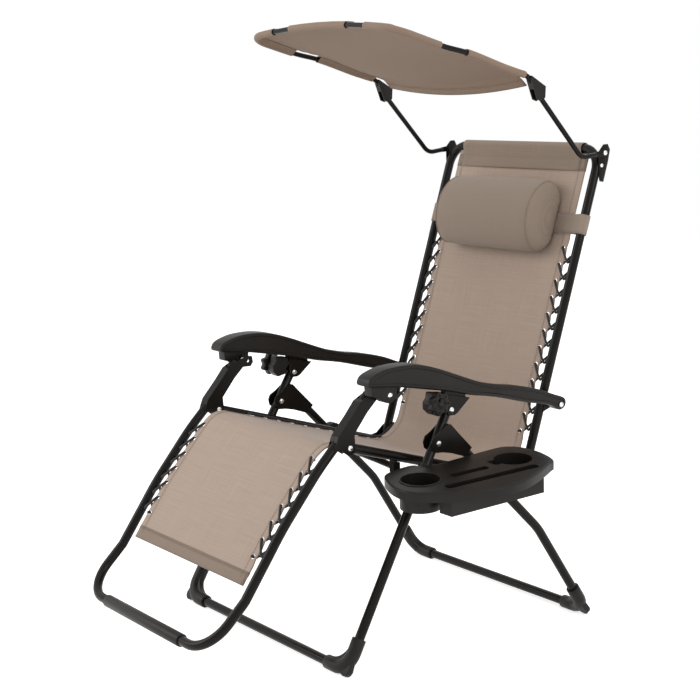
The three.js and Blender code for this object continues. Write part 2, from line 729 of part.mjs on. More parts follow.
function crossBow() {
  const railAtBow = knee.clone().lerp(hip, (BOW_Y - KNEE_Y) / (HIP_Y - KNEE_Y));
  const railSlope = Math.atan2(KNEE_Z - HIP_Z, HIP_Y - KNEE_Y);
  const under = railAtBow.z - (TUBE_RADIUS + CLEARANCE) / Math.cos(railSlope);
  const lean = BOW_PLATE_HALF_LENGTH * Math.tan(railSlope);
  const outline = [
    new THREE.Vector2(BOW_Y - BOW_PLATE_HALF_LENGTH, BOW_Z - BOW_PLATE_DROP),
    new THREE.Vector2(BOW_Y + BOW_PLATE_HALF_LENGTH, BOW_Z - BOW_PLATE_DROP),
    new THREE.Vector2(BOW_Y + BOW_PLATE_HALF_LENGTH, under - lean),
    new THREE.Vector2(BOW_Y - BOW_PLATE_HALF_LENGTH, under + lean),
  ];
  const ends = plate(outline, RAIL_X - BOW_PLATE_HALF_WIDTH, RAIL_X + BOW_PLATE_HALF_WIDTH);
  const route = [];
  for (let step = -4; step <= 4; step += 1) {
    const share = step / 4;
    route.push(point(share * RAIL_X, BOW_Y, BOW_Z + BOW_RISE * (1 - share * share)));
  }
  return surface(joined(tube(route, BOW_RADIUS, TUBE_SIDES), ends, mirrored(ends)));
}

addPiece('cross_bow', crossBow(), paintedSteel(), seat);

// Leg rest: one bent tube with its bar below, and stamped channels that reach up to the armrests
const legRest = new THREE.Group();
const legRestSide = legRestRouteShares.map(([reach, drop]) => (
  point(RAIL_X, KNEE_Y - reach * LEG_REST_REACH, KNEE_Z - drop * LEG_REST_DROP)
));
const legRestRadii = [];
legRestRadii[legRestSide.length - 1] = LEG_REST_CORNER_RADIUS;
legRestRadii[legRestSide.length] = LEG_REST_CORNER_RADIUS;
const legRestRoute = roundedRoute(withSides(legRestSide), legRestRadii);
addPiece('leg_rest_frame', tube(legRestRoute, TUBE_RADIUS, TUBE_SIDES), paintedSteel(), legRest);
const footBar = legRestSide[legRestSide.length - 1];
const barEnds = [FOOTREST_SLEEVE_HALF_LENGTH, -FOOTREST_SLEEVE_HALF_LENGTH].map((x) => point(x, footBar.y, footBar.z));
const footrestSleeve = cut(
  solid(tube(barEnds, FOOTREST_SLEEVE_RADIUS, TUBE_SIDES)),
  tube(lengthened(barEnds, OVERRUN), around(TUBE_RADIUS, CLEARANCE, TUBE_SIDES), TUBE_SIDES),
);
addPiece('footrest_sleeve', surface(footrestSleeve), moulded(), legRest);

const gussetHalf = TUBE_RADIUS + CLEARANCE + PLATE_THICKNESS;
const legRestSpace = tube(legRestRoute, around(TUBE_RADIUS, CLEARANCE, TUBE_SIDES), TUBE_SIDES);
const kneeGusset = cut(
  channel(
    outlinePoints(kneeGussetOutlineShares, KNEE_Y, KNEE_Z, KNEE_GUSSET_LENGTH, KNEE_GUSSET_HEIGHT),
    RAIL_X,
    TUBE_RADIUS + CLEARANCE,
    PLATE_THICKNESS,
    legRestSide[2],
    legRestSide[0],
    1,
  ),
  rivetHole(RAIL_X - gussetHalf, RAIL_X + gussetHalf, KNEE_Y, KNEE_Z),
  rivetHole(RAIL_X - gussetHalf, RAIL_X + gussetHalf, ARM_FRONT_Y, ARM_FRONT_Z),
  legRestSpace,
);
addPair('leg_rest_gusset', surface(kneeGusset), paintedSteel, legRest);
addPair('rail_front_rivet', rivet(RAIL_X - gussetHalf, RAIL_X + gussetHalf, KNEE_Y, KNEE_Z), bright, legRest);

// Back frame: one bent tube, a channel to the hip pivot and a tab for the rear of each armrest
const back = new THREE.Group();
const backY = (z) => BACK_AT_HIP_Y + (z - HIP_Z) * BACK_LEAN_SHARE;
const backLow = point(RAIL_X, backY(BACK_LOW_Z), BACK_LOW_Z);
const backTop = point(RAIL_X, backY(BACK_TOP_Z), BACK_TOP_Z);
const backUp = backTop.clone().sub(backLow).normalize();
const backForward = point(0, -backUp.z, backUp.y);
const backRoute = roundedRoute(withSides([backLow, backTop]), [0, BACK_CORNER_RADIUS, BACK_CORNER_RADIUS, 0]);
const armTubeZ = ARM_REAR_Z - (ARM_REAR_Y - backY(ARM_REAR_Z)) * BACK_LEAN_SHARE;
const armTab = plate([
  new THREE.Vector2(backY(armTubeZ - ARM_TAB_HALF_HEIGHT), armTubeZ - ARM_TAB_HALF_HEIGHT),
  new THREE.Vector2(ARM_REAR_Y, ARM_REAR_Z - ARM_TAB_REACH),
  new THREE.Vector2(ARM_REAR_Y + ARM_TAB_REACH, ARM_REAR_Z),
  new THREE.Vector2(ARM_REAR_Y, ARM_REAR_Z + ARM_TAB_REACH),
  new THREE.Vector2(backY(armTubeZ + ARM_TAB_HALF_HEIGHT), armTubeZ + ARM_TAB_HALF_HEIGHT),
], RAIL_X + TUBE_RADIUS - PLATE_THICKNESS, RAIL_X + TUBE_RADIUS + PLATE_THICKNESS);
const tabHoles = [1, -1].map((side) => (
  rivetHole(side * RAIL_X - 2 * TUBE_RADIUS, side * RAIL_X + 2 * TUBE_RADIUS, ARM_REAR_Y, ARM_REAR_Z)
));
const backFrame = cut(joined(tube(backRoute, TUBE_RADIUS, TUBE_SIDES), armTab, mirrored(armTab)), ...tabHoles);
addPiece('back_frame', surface(backFrame), paintedSteel(), back);

const backSpace = tube(lengthened(backRoute, OVERRUN), around(TUBE_RADIUS, CLEARANCE, TUBE_SIDES), TUBE_SIDES);
const hipGusset = cut(
  channel(
    outlinePoints(hipGussetOutlineShares, HIP_Y, HIP_Z, HIP_GUSSET_SIZE, HIP_GUSSET_SIZE),
    RAIL_X,
    TUBE_RADIUS + CLEARANCE,
    PLATE_THICKNESS,
    backLow,
    backTop,
    -1,
  ),
  rivetHole(RAIL_X - gussetHalf, RAIL_X + gussetHalf, HIP_Y, HIP_Z),
  backSpace,
);
addPair('back_gusset', surface(hipGusset), paintedSteel, back);
addPair('rail_rear_rivet', rivet(RAIL_X - gussetHalf, RAIL_X + gussetHalf, HIP_Y, HIP_Z), bright, back);

// Top brackets: a plate beside the back tube with the pivot pin of the canopy arm
const canopyPivotY = backTop.y - CANOPY_PIVOT_LEAD;
const canopyPivotZ = backTop.z - CANOPY_PIVOT_DROP;
const canopyHeadY = canopyPivotY - CANOPY_HEAD_REACH;
const canopyHeadZ = canopyPivotZ + CANOPY_HEAD_LIFT;
const armBendY = canopyPivotY - CANOPY_ARM_BEND_REACH;
const armBendZ = canopyPivotZ - CANOPY_ARM_BEND_DROP;
const canopyTabY = canopyPivotY - CANOPY_ARM_TAB_LEAD;
const topPlateX = RAIL_X + TUBE_RADIUS + CLEARANCE;
const topPlateOuter = topPlateX + TOP_BRACKET_THICKNESS;
const armTabInner = topPlateOuter + CLEARANCE;
const armTabOuter = armTabInner + CANOPY_ARM_TAB_THICKNESS;
const topPlate = plate(
  outlinePoints(topBracketOutlineShares, canopyPivotY, canopyPivotZ, TOP_BRACKET_LENGTH, TOP_BRACKET_HEIGHT),
  topPlateX,
  topPlateOuter,
);
const canopyPinHead = pin(
  armTabOuter + CLEARANCE,
  armTabOuter + CLEARANCE + CANOPY_PIN_HEAD,
  canopyPivotY,
  canopyPivotZ,
  CANOPY_PIN_HEAD_RADIUS,
);
const canopyPin = pin(topPlateX, armTabOuter + CANOPY_PIN_HEAD, canopyPivotY, canopyPivotZ, CANOPY_PIN_RADIUS);
addPair('back_top_bracket', surface(joined(topPlate, canopyPin, canopyPinHead)), paintedSteel, back);

// Armrests: a moulded bar with a lug at the leg rest channel and a groove for the recline lock
const armrests = new THREE.Group();
const armSlope = (ARM_REAR_Z - ARM_FRONT_Z) / (ARM_REAR_Y - ARM_FRONT_Y);
const armLine = (y) => ARM_FRONT_Z + (y - ARM_FRONT_Y) * armSlope;

function armrest() {
  const outline = outlinePoints(armrestOutlineShares, ARM_FRONT_Y, ARM_FRONT_Z, ARMREST_LENGTH, ARMREST_LENGTH);
  const bar = plate(outline, ARMREST_FRONT_INNER_X, ARMREST_FRONT_OUTER_X, ARMREST_BEVEL);
  const places = bar.attributes.position;
  for (let index = 0; index < places.count; index += 1) {
    const rearward = THREE.MathUtils.smoothstep(places.getY(index), ARM_FRONT_Y, ARM_REAR_Y - ARM_TAB_HALF_HEIGHT);
    const inner = THREE.MathUtils.lerp(ARMREST_FRONT_INNER_X, ARMREST_REAR_INNER_X, rearward);
    const outer = THREE.MathUtils.lerp(ARMREST_FRONT_OUTER_X, ARMREST_REAR_OUTER_X, rearward);
    const share = (places.getX(index) - ARMREST_FRONT_INNER_X) / (ARMREST_FRONT_OUTER_X - ARMREST_FRONT_INNER_X);
    places.setX(index, THREE.MathUtils.lerp(inner, outer, share));
  }
  const lug = plate(
    outlinePoints(lugOutlineShares, ARM_FRONT_Y, ARM_FRONT_Z, LUG_SIZE, LUG_SIZE),
    LUG_INNER_X,
    LUG_OUTER_X,
  );
  const frontY = ARM_FRONT_Y + GROOVE_FRONT;
  const backEndY = ARM_FRONT_Y + GROOVE_BACK;
  const groove = plate([
    new THREE.Vector2(frontY, ARM_REAR_Z),
    new THREE.Vector2(backEndY, ARM_REAR_Z),
    new THREE.Vector2(backEndY, armLine(backEndY) + GROOVE_ROOF),
    new THREE.Vector2(frontY, armLine(frontY) + GROOVE_ROOF),
  ], LOCK_X - GROOVE_HALF_WIDTH, LOCK_X + GROOVE_HALF_WIDTH);
  return surface(cut(
    joined(bar, lug),
    groove,
    rivetHole(LUG_INNER_X, LUG_OUTER_X, ARM_FRONT_Y, ARM_FRONT_Z),
    rivetHole(ARMREST_REAR_INNER_X, ARMREST_REAR_OUTER_X, ARM_REAR_Y, ARM_REAR_Z, OPEN_PIVOT_CLEARANCE),
  ));
}

addPair('armrest', armrest(), moulded, armrests);
const armFrontInner = RAIL_X + TUBE_RADIUS + CLEARANCE;
addPair('arm_front_rivet', rivet(armFrontInner, LUG_OUTER_X, ARM_FRONT_Y, ARM_FRONT_Z), bright, legRest);
const armRearInner = RAIL_X + TUBE_RADIUS - PLATE_THICKNESS;
addPair('arm_rear_rivet', rivet(armRearInner, ARMREST_REAR_OUTER_X, ARM_REAR_Y, ARM_REAR_Z), bright, back);

// Recline locks: a bracket astride the post top runs in the armrest groove and is clamped by the star knob
const locks = new THREE.Group();
const lockHalf = LOCK_BRACKET_HALF_GAP + PLATE_THICKNESS;

const bracketOutline = outlinePoints(
  lockBracketOutlineShares,
  lockPivot.y,
  LOCK_Z,
  LOCK_BRACKET_LENGTH,
  LOCK_BRACKET_HEIGHT,
);

function slideBracket() {
  const outline = bracketOutline;
  const [rearTopCorner, frontTopCorner] = [outline[4], outline[5]];
  const inside = [
    new THREE.Vector2(frontTopCorner.x - OVERRUN, LOCK_Z - LOCK_BRACKET_HEIGHT),
    new THREE.Vector2(rearTopCorner.x + OVERRUN, LOCK_Z - LOCK_BRACKET_HEIGHT),
    new THREE.Vector2(rearTopCorner.x + OVERRUN, rearTopCorner.y - LOCK_WEB),
    new THREE.Vector2(frontTopCorner.x - OVERRUN, frontTopCorner.y - LOCK_WEB),
  ];
  const cheeks = cut(
    solid(plate(outline, LOCK_X - lockHalf, LOCK_X + lockHalf)),
    plate(inside, LOCK_X - LOCK_BRACKET_HALF_GAP, LOCK_X + LOCK_BRACKET_HALF_GAP),
  );
  const frontY = TONGUE_CENTRE_Y - TONGUE_HALF_LENGTH;
  const backEndY = TONGUE_CENTRE_Y + TONGUE_HALF_LENGTH;
  const webZ = (y) => THREE.MathUtils.mapLinear(
    y,
    frontTopCorner.x,
    rearTopCorner.x,
    frontTopCorner.y,
    rearTopCorner.y,
  ) - LOCK_WEB / 2;
  const tongue = plate([
    new THREE.Vector2(frontY, webZ(frontY)),
    new THREE.Vector2(backEndY, webZ(backEndY)),
    new THREE.Vector2(backEndY, armLine(backEndY) + GROOVE_ROOF - TONGUE_CLEARANCE),
    new THREE.Vector2(frontY, armLine(frontY) + GROOVE_ROOF - TONGUE_CLEARANCE),
  ], LOCK_X - TONGUE_HALF_WIDTH, LOCK_X + TONGUE_HALF_WIDTH);
  const hole = rivetHole(LOCK_X - lockHalf, LOCK_X + lockHalf, lockPivot.y, LOCK_Z);
  return surface(cut(cheeks.add(solid(tongue)), hole));
}

addPair('slide_bracket', slideBracket(), paintedSteel, locks);
addPair('slide_rivet', rivet(LOCK_X - lockHalf, LOCK_X + lockHalf, lockPivot.y, LOCK_Z), bright, frontLegs);

const housingOutline = (() => {
  const [bottom, top] = [bracketOutline[0], bracketOutline[5]];
  const seatAt = (z) => new THREE.Vector2(
    THREE.MathUtils.mapLinear(z, bottom.y, top.y, bottom.x, top.x) - CLEARANCE,
    z,
  );
  const front = outlinePoints(housingOutlineShares, lockPivot.y, LOCK_Z, HOUSING_LENGTH, HOUSING_HEIGHT);
  return [seatAt(HOUSING_SEAT_TOP_Z), ...front, seatAt(HOUSING_SEAT_LOW_Z)];
})();
addPair('lock_housing', plate(housingOutline, HOUSING_INNER_X, HOUSING_OUTER_X), moulded, locks);

function starKnob() {
  const outline = [];
  const count = KNOB_LOBES * 5;
  for (let step = 0; step < count; step += 1) {
    const angle = (2 * Math.PI * step) / count;
    const radius = KNOB_RADIUS + KNOB_LOBE * Math.cos(KNOB_LOBES * angle);
    outline.push(new THREE.Vector2(radius * Math.cos(angle), radius * Math.sin(angle)));
  }
  const star = plate(outline, KNOB_INNER_X, KNOB_OUTER_X, KNOB_BEVEL).translate(0, KNOB_Y, KNOB_Z);
  const hub = pin(HOUSING_OUTER_X + CLEARANCE, KNOB_INNER_X + KNOB_BEVEL, KNOB_Y, KNOB_Z, KNOB_HUB_RADIUS, TUBE_SIDES);
  return surface(joined(star, hub));
}

addPair('clamp_knob', starKnob(), moulded, locks);

// Sling in side view: from the top bar down the back, over the hip and the knee, along the leg rest
const hipCorner = (() => {
  const railSlope = (HIP_Z - KNEE_Z) / (HIP_Y - KNEE_Y);
  const z = (KNEE_Z + (backY(0) - KNEE_Y) * railSlope) / (1 - BACK_LEAN_SHARE * railSlope);
  return point(0, backY(z), z);
})();
const kneeCorner = (() => {
  const railSlope = (HIP_Z - KNEE_Z) / (HIP_Y - KNEE_Y);
  const [a, b] = [legRestSide[2], legRestSide[3]];
  const legSlope = (a.z - b.z) / (a.y - b.y);
  const y = (KNEE_Z - KNEE_Y * railSlope - a.z + a.y * legSlope) / (legSlope - railSlope);
  return point(0, y, KNEE_Z + (y - KNEE_Y) * railSlope);
})();
const legRestMiddle = legRestSide.slice(3, 7).map((place) => point(0, place.y, place.z));
const slingPath = roundedRoute(
  [
    backTop.clone().setX(0),
    hipCorner,
    kneeCorner,
    ...legRestMiddle,
    alongHeight(legRestSide[7], legRestSide[6], KNEE_Z - SLING_END_DROP).setX(0),
  ],
  [0, HIP_CURVE_RADIUS, KNEE_CURVE_RADIUS],
);
const slingLengths = slingPath.reduce((lengths, place, index) => {
  lengths.push(index === 0 ? 0 : lengths[index - 1] + place.distanceTo(slingPath[index - 1]));
  return lengths;
}, []);

function slingAt(length) {
  let index = slingLengths.findIndex((reached) => reached > length);
  index = index < 1 ? slingPath.length - 1 : index;
  const run = slingLengths[index] - slingLengths[index - 1];
  const place = slingPath[index - 1].clone().lerp(slingPath[index], (length - slingLengths[index - 1]) / run);
  const down = slingPath[index].clone().sub(slingPath[index - 1]).normalize();
  return { place, down, front: point(0, down.z, -down.y) };
}

function lengthNear(target) {
  let best = 0;
  for (let length = 0; length < slingLengths[slingLengths.length - 1]; length += CLEARANCE) {
    if (slingAt(length).place.distanceTo(target) < slingAt(best).place.distanceTo(target)) {
      best = length;
    }
  }
  return best;
}

const hipSplit = lengthNear(point(0, HIP_Y, HIP_Z));
const kneeSplit = lengthNear(point(0, KNEE_Y, KNEE_Z));
const slingEnd = slingLengths[slingLengths.length - 1];
const backEyeletZ = backTop.z - BACK_EYELETS_DROP;
const backFirst = lengthNear(point(0, backY(backEyeletZ), backEyeletZ));
const legFirst = lengthNear(alongHeight(legRestSide[3], legRestSide[2], LEG_EYELETS_TOP_Z).setX(0));
const backEyelets = Math.floor((hipSplit - BACK_LACING_END - backFirst) / EYELET_PITCH) + 1;
const seatPivotLength = lengthNear(point(0, seatPivot.y, seatPivot.z));

// Each cord leaves the front of an eyelet and reaches the next one after these shares of the pitch
const wrapShares = [0.52, 0.65, 0.79, 0.92];
const wrapAngles = [90, 30, -30, -90].map(THREE.MathUtils.degToRad);
const SKIPPED_SEAT_WRAP = 2;
const SKIPPED_BACK_WRAP = 8;
const wrapMiddleShare = (wrapShares[1] + wrapShares[2]) / 2;
const seatFirst = seatPivotLength - (SKIPPED_SEAT_WRAP + wrapMiddleShare) * EYELET_PITCH;

function eyelets(first, count) {
  return Array.from({ length: count }, (unused, index) => first + index * EYELET_PITCH);
}

function slingSection(from, to, first, count) {
  const lengths = [from, to];
  for (const eyelet of eyelets(first, count)) {
    lengths.push(eyelet - EYELET_HALF, eyelet + EYELET_HALF);
  }
  for (const length of slingLengths) {
    const near = lengths.some((other) => Math.abs(other - length) < EYELET_HALF);
    if (length > from && length < to && !near) {
      lengths.push(length);
    }
  }
  lengths.sort((a, b) => a - b);
  const widths = [
    -SLING_HALF_WIDTH, -EYELET_X - EYELET_HALF, -EYELET_X + EYELET_HALF, 0,
    EYELET_X - EYELET_HALF, EYELET_X + EYELET_HALF, SLING_HALF_WIDTH,
  ];
  const grid = lengths.map((length) => widths.map((x) => slingAt(length).place.clone().setX(x)));
  const starts = eyelets(first, count).map((eyelet) => lengths.indexOf(eyelet - EYELET_HALF));
  return sheet(grid, SLING_THICKNESS, (row, column) => starts.includes(row) && (column === 1 || column === 4));
}

function topSleeve() {
  const bar = backRoute.filter((place) => Math.abs(place.x) < RAIL_X - TUBE_RADIUS && place.z > backTop.z - TUBE_RADIUS);
  const ends = [1, -1].map((side) => backTop.clone().setX(side * (RAIL_X - BACK_CORNER_RADIUS)));
  const route = bar.length > 1 ? [ends[0], ends[1]] : ends;
  return tube(route, around(TUBE_RADIUS + SLING_SLEEVE_WALL, CLEARANCE, TUBE_SIDES), TUBE_SIDES);
}

const backPanel = slingSection(TUBE_RADIUS + CLEARANCE, hipSplit - SECTION_GAP, backFirst, backEyelets);
addPiece('back_sling', surface(cut(joined(topSleeve(), backPanel), backSpace)), fabric(), back);
const seatPanel = slingSection(hipSplit + SECTION_GAP, kneeSplit - SECTION_GAP, seatFirst, SEAT_EYELETS);
addPiece('seat_sling', seatPanel, fabric(), seat);
const legPanel = slingSection(kneeSplit + SECTION_GAP, slingEnd, legFirst, LEG_EYELETS);
addPiece('leg_rest_sling', legPanel, fabric(), legRest);

// Lacing: a cord wound from eyelet to eyelet round the tube beside the sling
function lacingRoute(first, count, skipped) {
  const route = [];
  const add = (length, x, lift) => {
    const { place, front } = slingAt(length);
    route.push(place.clone().setX(x).addScaledVector(front, lift));
  };
  eyelets(first, count).forEach((eyelet, index) => {
    add(eyelet, EYELET_X, -CORD_LIFT);
    add(eyelet, EYELET_X, CORD_LIFT);
    if (index === count - 1) {
      return;
    }
    if (index === skipped) {
      add(eyelet + wrapShares[0] * EYELET_PITCH, SLING_HALF_WIDTH + CORD_WRAP_RADIUS / 3, CORD_LIFT);
      add(eyelet + wrapShares[3] * EYELET_PITCH, SLING_HALF_WIDTH + CORD_WRAP_RADIUS / 3, -CORD_LIFT);
      return;
    }
    wrapShares.forEach((share, step) => {
      const { place, front } = slingAt(eyelet + share * EYELET_PITCH);
      const outward = CORD_WRAP_RADIUS * Math.cos(wrapAngles[step]);
      route.push(place.clone().setX(RAIL_X + outward).addScaledVector(front, CORD_WRAP_RADIUS * Math.sin(wrapAngles[step])));
    });
  });
  return route;
}

function leastGap(route) {
  let least = Infinity;
  for (let first = 0; first < route.length - 1; first += 1) {
    const start = new THREE.Line3(route[first], route[first + 1]);
    for (let step = 0; step <= 8; step += 1) {
      const place = start.at(step / 8, point(0, 0, 0));
      for (let other = first + 3; other < route.length - 1; other += 1) {
        const line = new THREE.Line3(route[other], route[other + 1]);
        const near = line.closestPointToPoint(place, true, point(0, 0, 0));
        least = Math.min(least, near.distanceTo(place) - 2 * CORD_RADIUS);
      }
    }
  }
  return least;
}

function addLacing(name, route, parent) {
  console.log(`${name}: least gap to itself ${leastGap(route).toFixed(2)} mm`);
  addPair(name, tube(route, CORD_RADIUS, CORD_SIDES), cord, parent);
}

addLacing('back_lacing', lacingRoute(backFirst, backEyelets, SKIPPED_BACK_WRAP), back);
addLacing('seat_lacing', lacingRoute(seatFirst, SEAT_EYELETS, SKIPPED_SEAT_WRAP), seat);
addLacing('leg_rest_lacing', lacingRoute(legFirst, LEG_EYELETS, -1), legRest);

// Canopy arms: a rod with a flattened end on the pivot pin, bent up to the head frame
const canopyArms = new THREE.Group();

function canopyArm() {
  const start = point(CANOPY_X, canopyTabY, THREE.MathUtils.mapLinear(
    canopyTabY,
    canopyPivotY,
    armBendY,
    canopyPivotZ,
    armBendZ,
  ));
  const bend = point(CANOPY_X, armBendY, armBendZ);
  const end = point(CANOPY_X, canopyHeadY, canopyHeadZ);
  const route = roundedRoute([start, bend, end], [0, CANOPY_ARM_BEND_RADIUS]);
  const last = route.length - 1;
  route[last].addScaledVector(end.clone().sub(bend).normalize(), FITTING_PIN_RADIUS);
  const slope = (start.z - canopyPivotZ) / (start.y - canopyPivotY);
  const tabFront = canopyTabY - CANOPY_ARM_TAB_REACH;
  const tabBack = canopyPivotY + CANOPY_ARM_TAB_REACH;
  const tabZ = (y) => canopyPivotZ + (y - canopyPivotY) * slope;
  const tab = plate([
    new THREE.Vector2(tabFront, tabZ(tabFront) - CANOPY_ARM_TAB_HALF_HEIGHT / 2),
    new THREE.Vector2(canopyPivotY, canopyPivotZ - CANOPY_ARM_TAB_HALF_HEIGHT),
    new THREE.Vector2(tabBack, canopyPivotZ),
    new THREE.Vector2(canopyPivotY, canopyPivotZ + CANOPY_ARM_TAB_HALF_HEIGHT),
    new THREE.Vector2(tabFront, tabZ(tabFront) + CANOPY_ARM_TAB_HALF_HEIGHT / 2),
  ], armTabInner, armTabOuter);
  const pivotHole = pin(
    armTabInner - OVERRUN,
    armTabOuter + OVERRUN,
    canopyPivotY,
    canopyPivotZ,
    around(CANOPY_PIN_RADIUS, CLEARANCE, RIVET_SIDES),
  );
  const headHole = pin(
    CANOPY_X - 2 * ROD_RADIUS,
    CANOPY_X + 2 * ROD_RADIUS,
    canopyHeadY,
    canopyHeadZ,
    around(FITTING_PIN_RADIUS, CLEARANCE, RIVET_SIDES),
  );
  const rod = lengthened(route, FITTING_PIN_RADIUS);
  return surface(cut(joined(tube(rod, ROD_RADIUS, ROD_SIDES), tab), pivotHole, headHole));
}

addPair('canopy_arm', canopyArm(), paintedSteel, canopyArms);

// Canopy head: a bent rod frame, clevis fittings at its rear ends and the cloth sewn round it
const canopyHead = new THREE.Group();
const headFrontY = canopyHeadY - CANOPY_LENGTH;
const sleeveStartY = canopyHeadY - CANOPY_SLEEVE_LEAD;
const hemY = canopyHeadY - CANOPY_HEM_LEAD;
const shoulderY = canopyHeadY - CANOPY_SHOULDER_LEAD;
const cutoutFrontY = canopyHeadY - SIDE_CUTOUT_FRONT_LEAD;
const cutoutBackY = canopyHeadY - SIDE_CUTOUT_BACK_LEAD;
const headRearZ = canopyHeadZ + CANOPY_HEAD_GAP;
const headSide = headRouteShares.map(([back_, rise]) => (
  point(CANOPY_X, headFrontY + back_ * CANOPY_LENGTH, headRearZ + rise * CANOPY_RISE)
));
const headFrontZ = headSide[headSide.length - 1].z;
const frontBar = [0.4, 0, -0.4].map((share) => (
  point(share * CANOPY_X, headFrontY, headFrontZ + CANOPY_FRONT_CROWN * (1 - share * share))
));
const headRadii = [];
headRadii[headSide.length - 1] = CANOPY_CORNER_RADIUS;
headRadii[headSide.length + frontBar.length] = CANOPY_CORNER_RADIUS;
const headOther = headSide.map((place) => point(-place.x, place.y, place.z)).reverse();
const headRoute = roundedRoute([...headSide, ...frontBar, ...headOther], headRadii);
addPiece('canopy_frame', tube(headRoute, ROD_RADIUS, ROD_SIDES), paintedSteel(), canopyHead);
const headSpace = tube(lengthened(headRoute, OVERRUN), around(ROD_RADIUS, CLEARANCE, ROD_SIDES), ROD_SIDES);

function canopyFitting() {
  const outline = outlinePoints(fittingOutlineShares, canopyHeadY, canopyHeadZ, FITTING_SIZE, FITTING_SIZE);
  const halfGap = ROD_RADIUS + CLEARANCE;
  const inside = [
    new THREE.Vector2(canopyHeadY - FITTING_SIZE, canopyHeadZ - FITTING_SIZE),
    new THREE.Vector2(canopyHeadY + FITTING_SIZE, canopyHeadZ - FITTING_SIZE),
    new THREE.Vector2(canopyHeadY + FITTING_SIZE, canopyHeadZ + CANOPY_HEAD_GAP / 2),
    new THREE.Vector2(canopyHeadY + CANOPY_HEAD_GAP - FITTING_WEB, canopyHeadZ + CANOPY_HEAD_GAP / 2),
    new THREE.Vector2(canopyHeadY + CANOPY_HEAD_GAP - FITTING_WEB, canopyHeadZ + CANOPY_HEAD_GAP),
    new THREE.Vector2(canopyHeadY - FITTING_SIZE, canopyHeadZ + CANOPY_HEAD_GAP),
  ];
  const cheeks = cut(
    solid(plate(outline, CANOPY_X - halfGap - FITTING_CHEEK, CANOPY_X + halfGap + FITTING_CHEEK)),
    plate(inside, CANOPY_X - halfGap, CANOPY_X + halfGap),
    headSpace,
  );
  const axleHalf = halfGap + FITTING_CHEEK / 3;
  const axle = pin(CANOPY_X - axleHalf, CANOPY_X + axleHalf, canopyHeadY, canopyHeadZ, FITTING_PIN_RADIUS);
  return surface(cheeks.add(solid(axle)));
}

addPair('canopy_fitting', canopyFitting(), moulded, canopyHead);

function canopyCloth() {
  const sideZ = (y) => {
    const index = headSide.findIndex((place) => place.y <= y);
    const [low, high] = index < 1 ? [headSide[0], headSide[1]] : [headSide[index - 1], headSide[index]];
    return THREE.MathUtils.mapLinear(y, low.y, high.y, low.z, high.z);
  };
  const cornerY = headFrontY + CANOPY_CORNER_RADIUS;
  const halfWidth = (y) => {
    if (y >= shoulderY) {
      return CANOPY_HEM_HALF_WIDTH;
    }
    const inward = Math.max(0, cornerY - y);
    const arc = Math.sqrt(Math.max(0, CANOPY_CORNER_RADIUS ** 2 - inward ** 2));
    return CANOPY_X - CANOPY_CORNER_RADIUS + arc;
  };
  const rows = [];
  const count = 5;
  for (let step = 0; step <= count; step += 1) {
    rows.push(THREE.MathUtils.lerp(sleeveStartY, cornerY, step / count));
  }
  for (const share of [0.4, 0.75, 0.97]) {
    rows.push(cornerY - share * CANOPY_CORNER_RADIUS);
  }
  const all = [hemY, shoulderY, ...rows];
  const lift = around(ROD_RADIUS, CLEARANCE, ROD_SIDES) + CANOPY_CLOTH_THICKNESS / 2;
  const grid = all.map((y) => [-1, -0.7, 0, 0.7, 1].map((share) => {
    const forward = (hemY - y) / (hemY - headFrontY);
    const crown = THREE.MathUtils.lerp(-CANOPY_REAR_SAG, CANOPY_FRONT_CROWN, Math.min(1, forward * 1.15));
    return point(share * halfWidth(y), y, sideZ(y) + lift + crown * (1 - share * share));
  }));
  const panel = sheet(grid, CANOPY_CLOTH_THICKNESS);
  const sewn = headRoute.filter((place) => place.y < sleeveStartY - ROD_RADIUS);
  const first = sewn[0];
  const slope = (headSide[1].z - sewn[0].z) / (headSide[1].y - sewn[0].y);
  const rearEnd = (side) => point(
    side * CANOPY_X,
    sleeveStartY,
    first.z + (sleeveStartY - first.y) * slope,
  );
  const route = [rearEnd(1), ...sewn, rearEnd(-1)];
  const sleeve = tube(route, around(ROD_RADIUS + CANOPY_SLEEVE_WALL, CLEARANCE, ROD_SIDES), ROD_SIDES);
  const openings = [1, -1].flatMap((side) => {
    const sideBox = new THREE.BoxGeometry(
      2 * CUTOUT_REACH,
      cutoutBackY - cutoutFrontY,
      2 * CUTOUT_HALF_HEIGHT,
    );
    const middleY = (cutoutBackY + cutoutFrontY) / 2;
    sideBox.translate(side * (CANOPY_X + CLEARANCE), middleY, sideZ(middleY));
    const frontBox = new THREE.BoxGeometry(2 * FRONT_CUTOUT_HALF_WIDTH, 2 * CUTOUT_REACH, 2 * CUTOUT_HALF_HEIGHT);
    frontBox.translate(side * FRONT_CUTOUT_X, headFrontY, headFrontZ + CANOPY_FRONT_CROWN / 2);
    return [sideBox, frontBox];
  });
  return surface(cut(joined(sleeve, panel), headSpace, ...openings));
}

addPiece('canopy_cloth', canopyCloth(), fabric(), canopyHead);

// Head pillow: a D-shaped cushion with drawn-in ends, and the strap round both back tubes
const pillowGroup = new THREE.Group();
const pillowZ = backTop.z - PILLOW_DROP;
const strapZ = pillowZ - STRAP_DROP;

function backPlace(x, forward, z) {
  return point(x, backY(z), z).addScaledVector(backForward, forward);
}

const pillowRings = pillowRingShares.map(([along, swell]) => pillowSectionShares.map(([deep, high]) => (
  backPlace(along * PILLOW_HALF_LENGTH, 0, pillowZ)
    .addScaledVector(backForward, PILLOW_BACK_GAP + deep * PILLOW_DEPTH * swell)
    .addScaledVector(backUp, high * PILLOW_HALF_HEIGHT * swell)
)));
addPiece('head_pillow', loft(pillowRings), fabric(), pillowGroup);

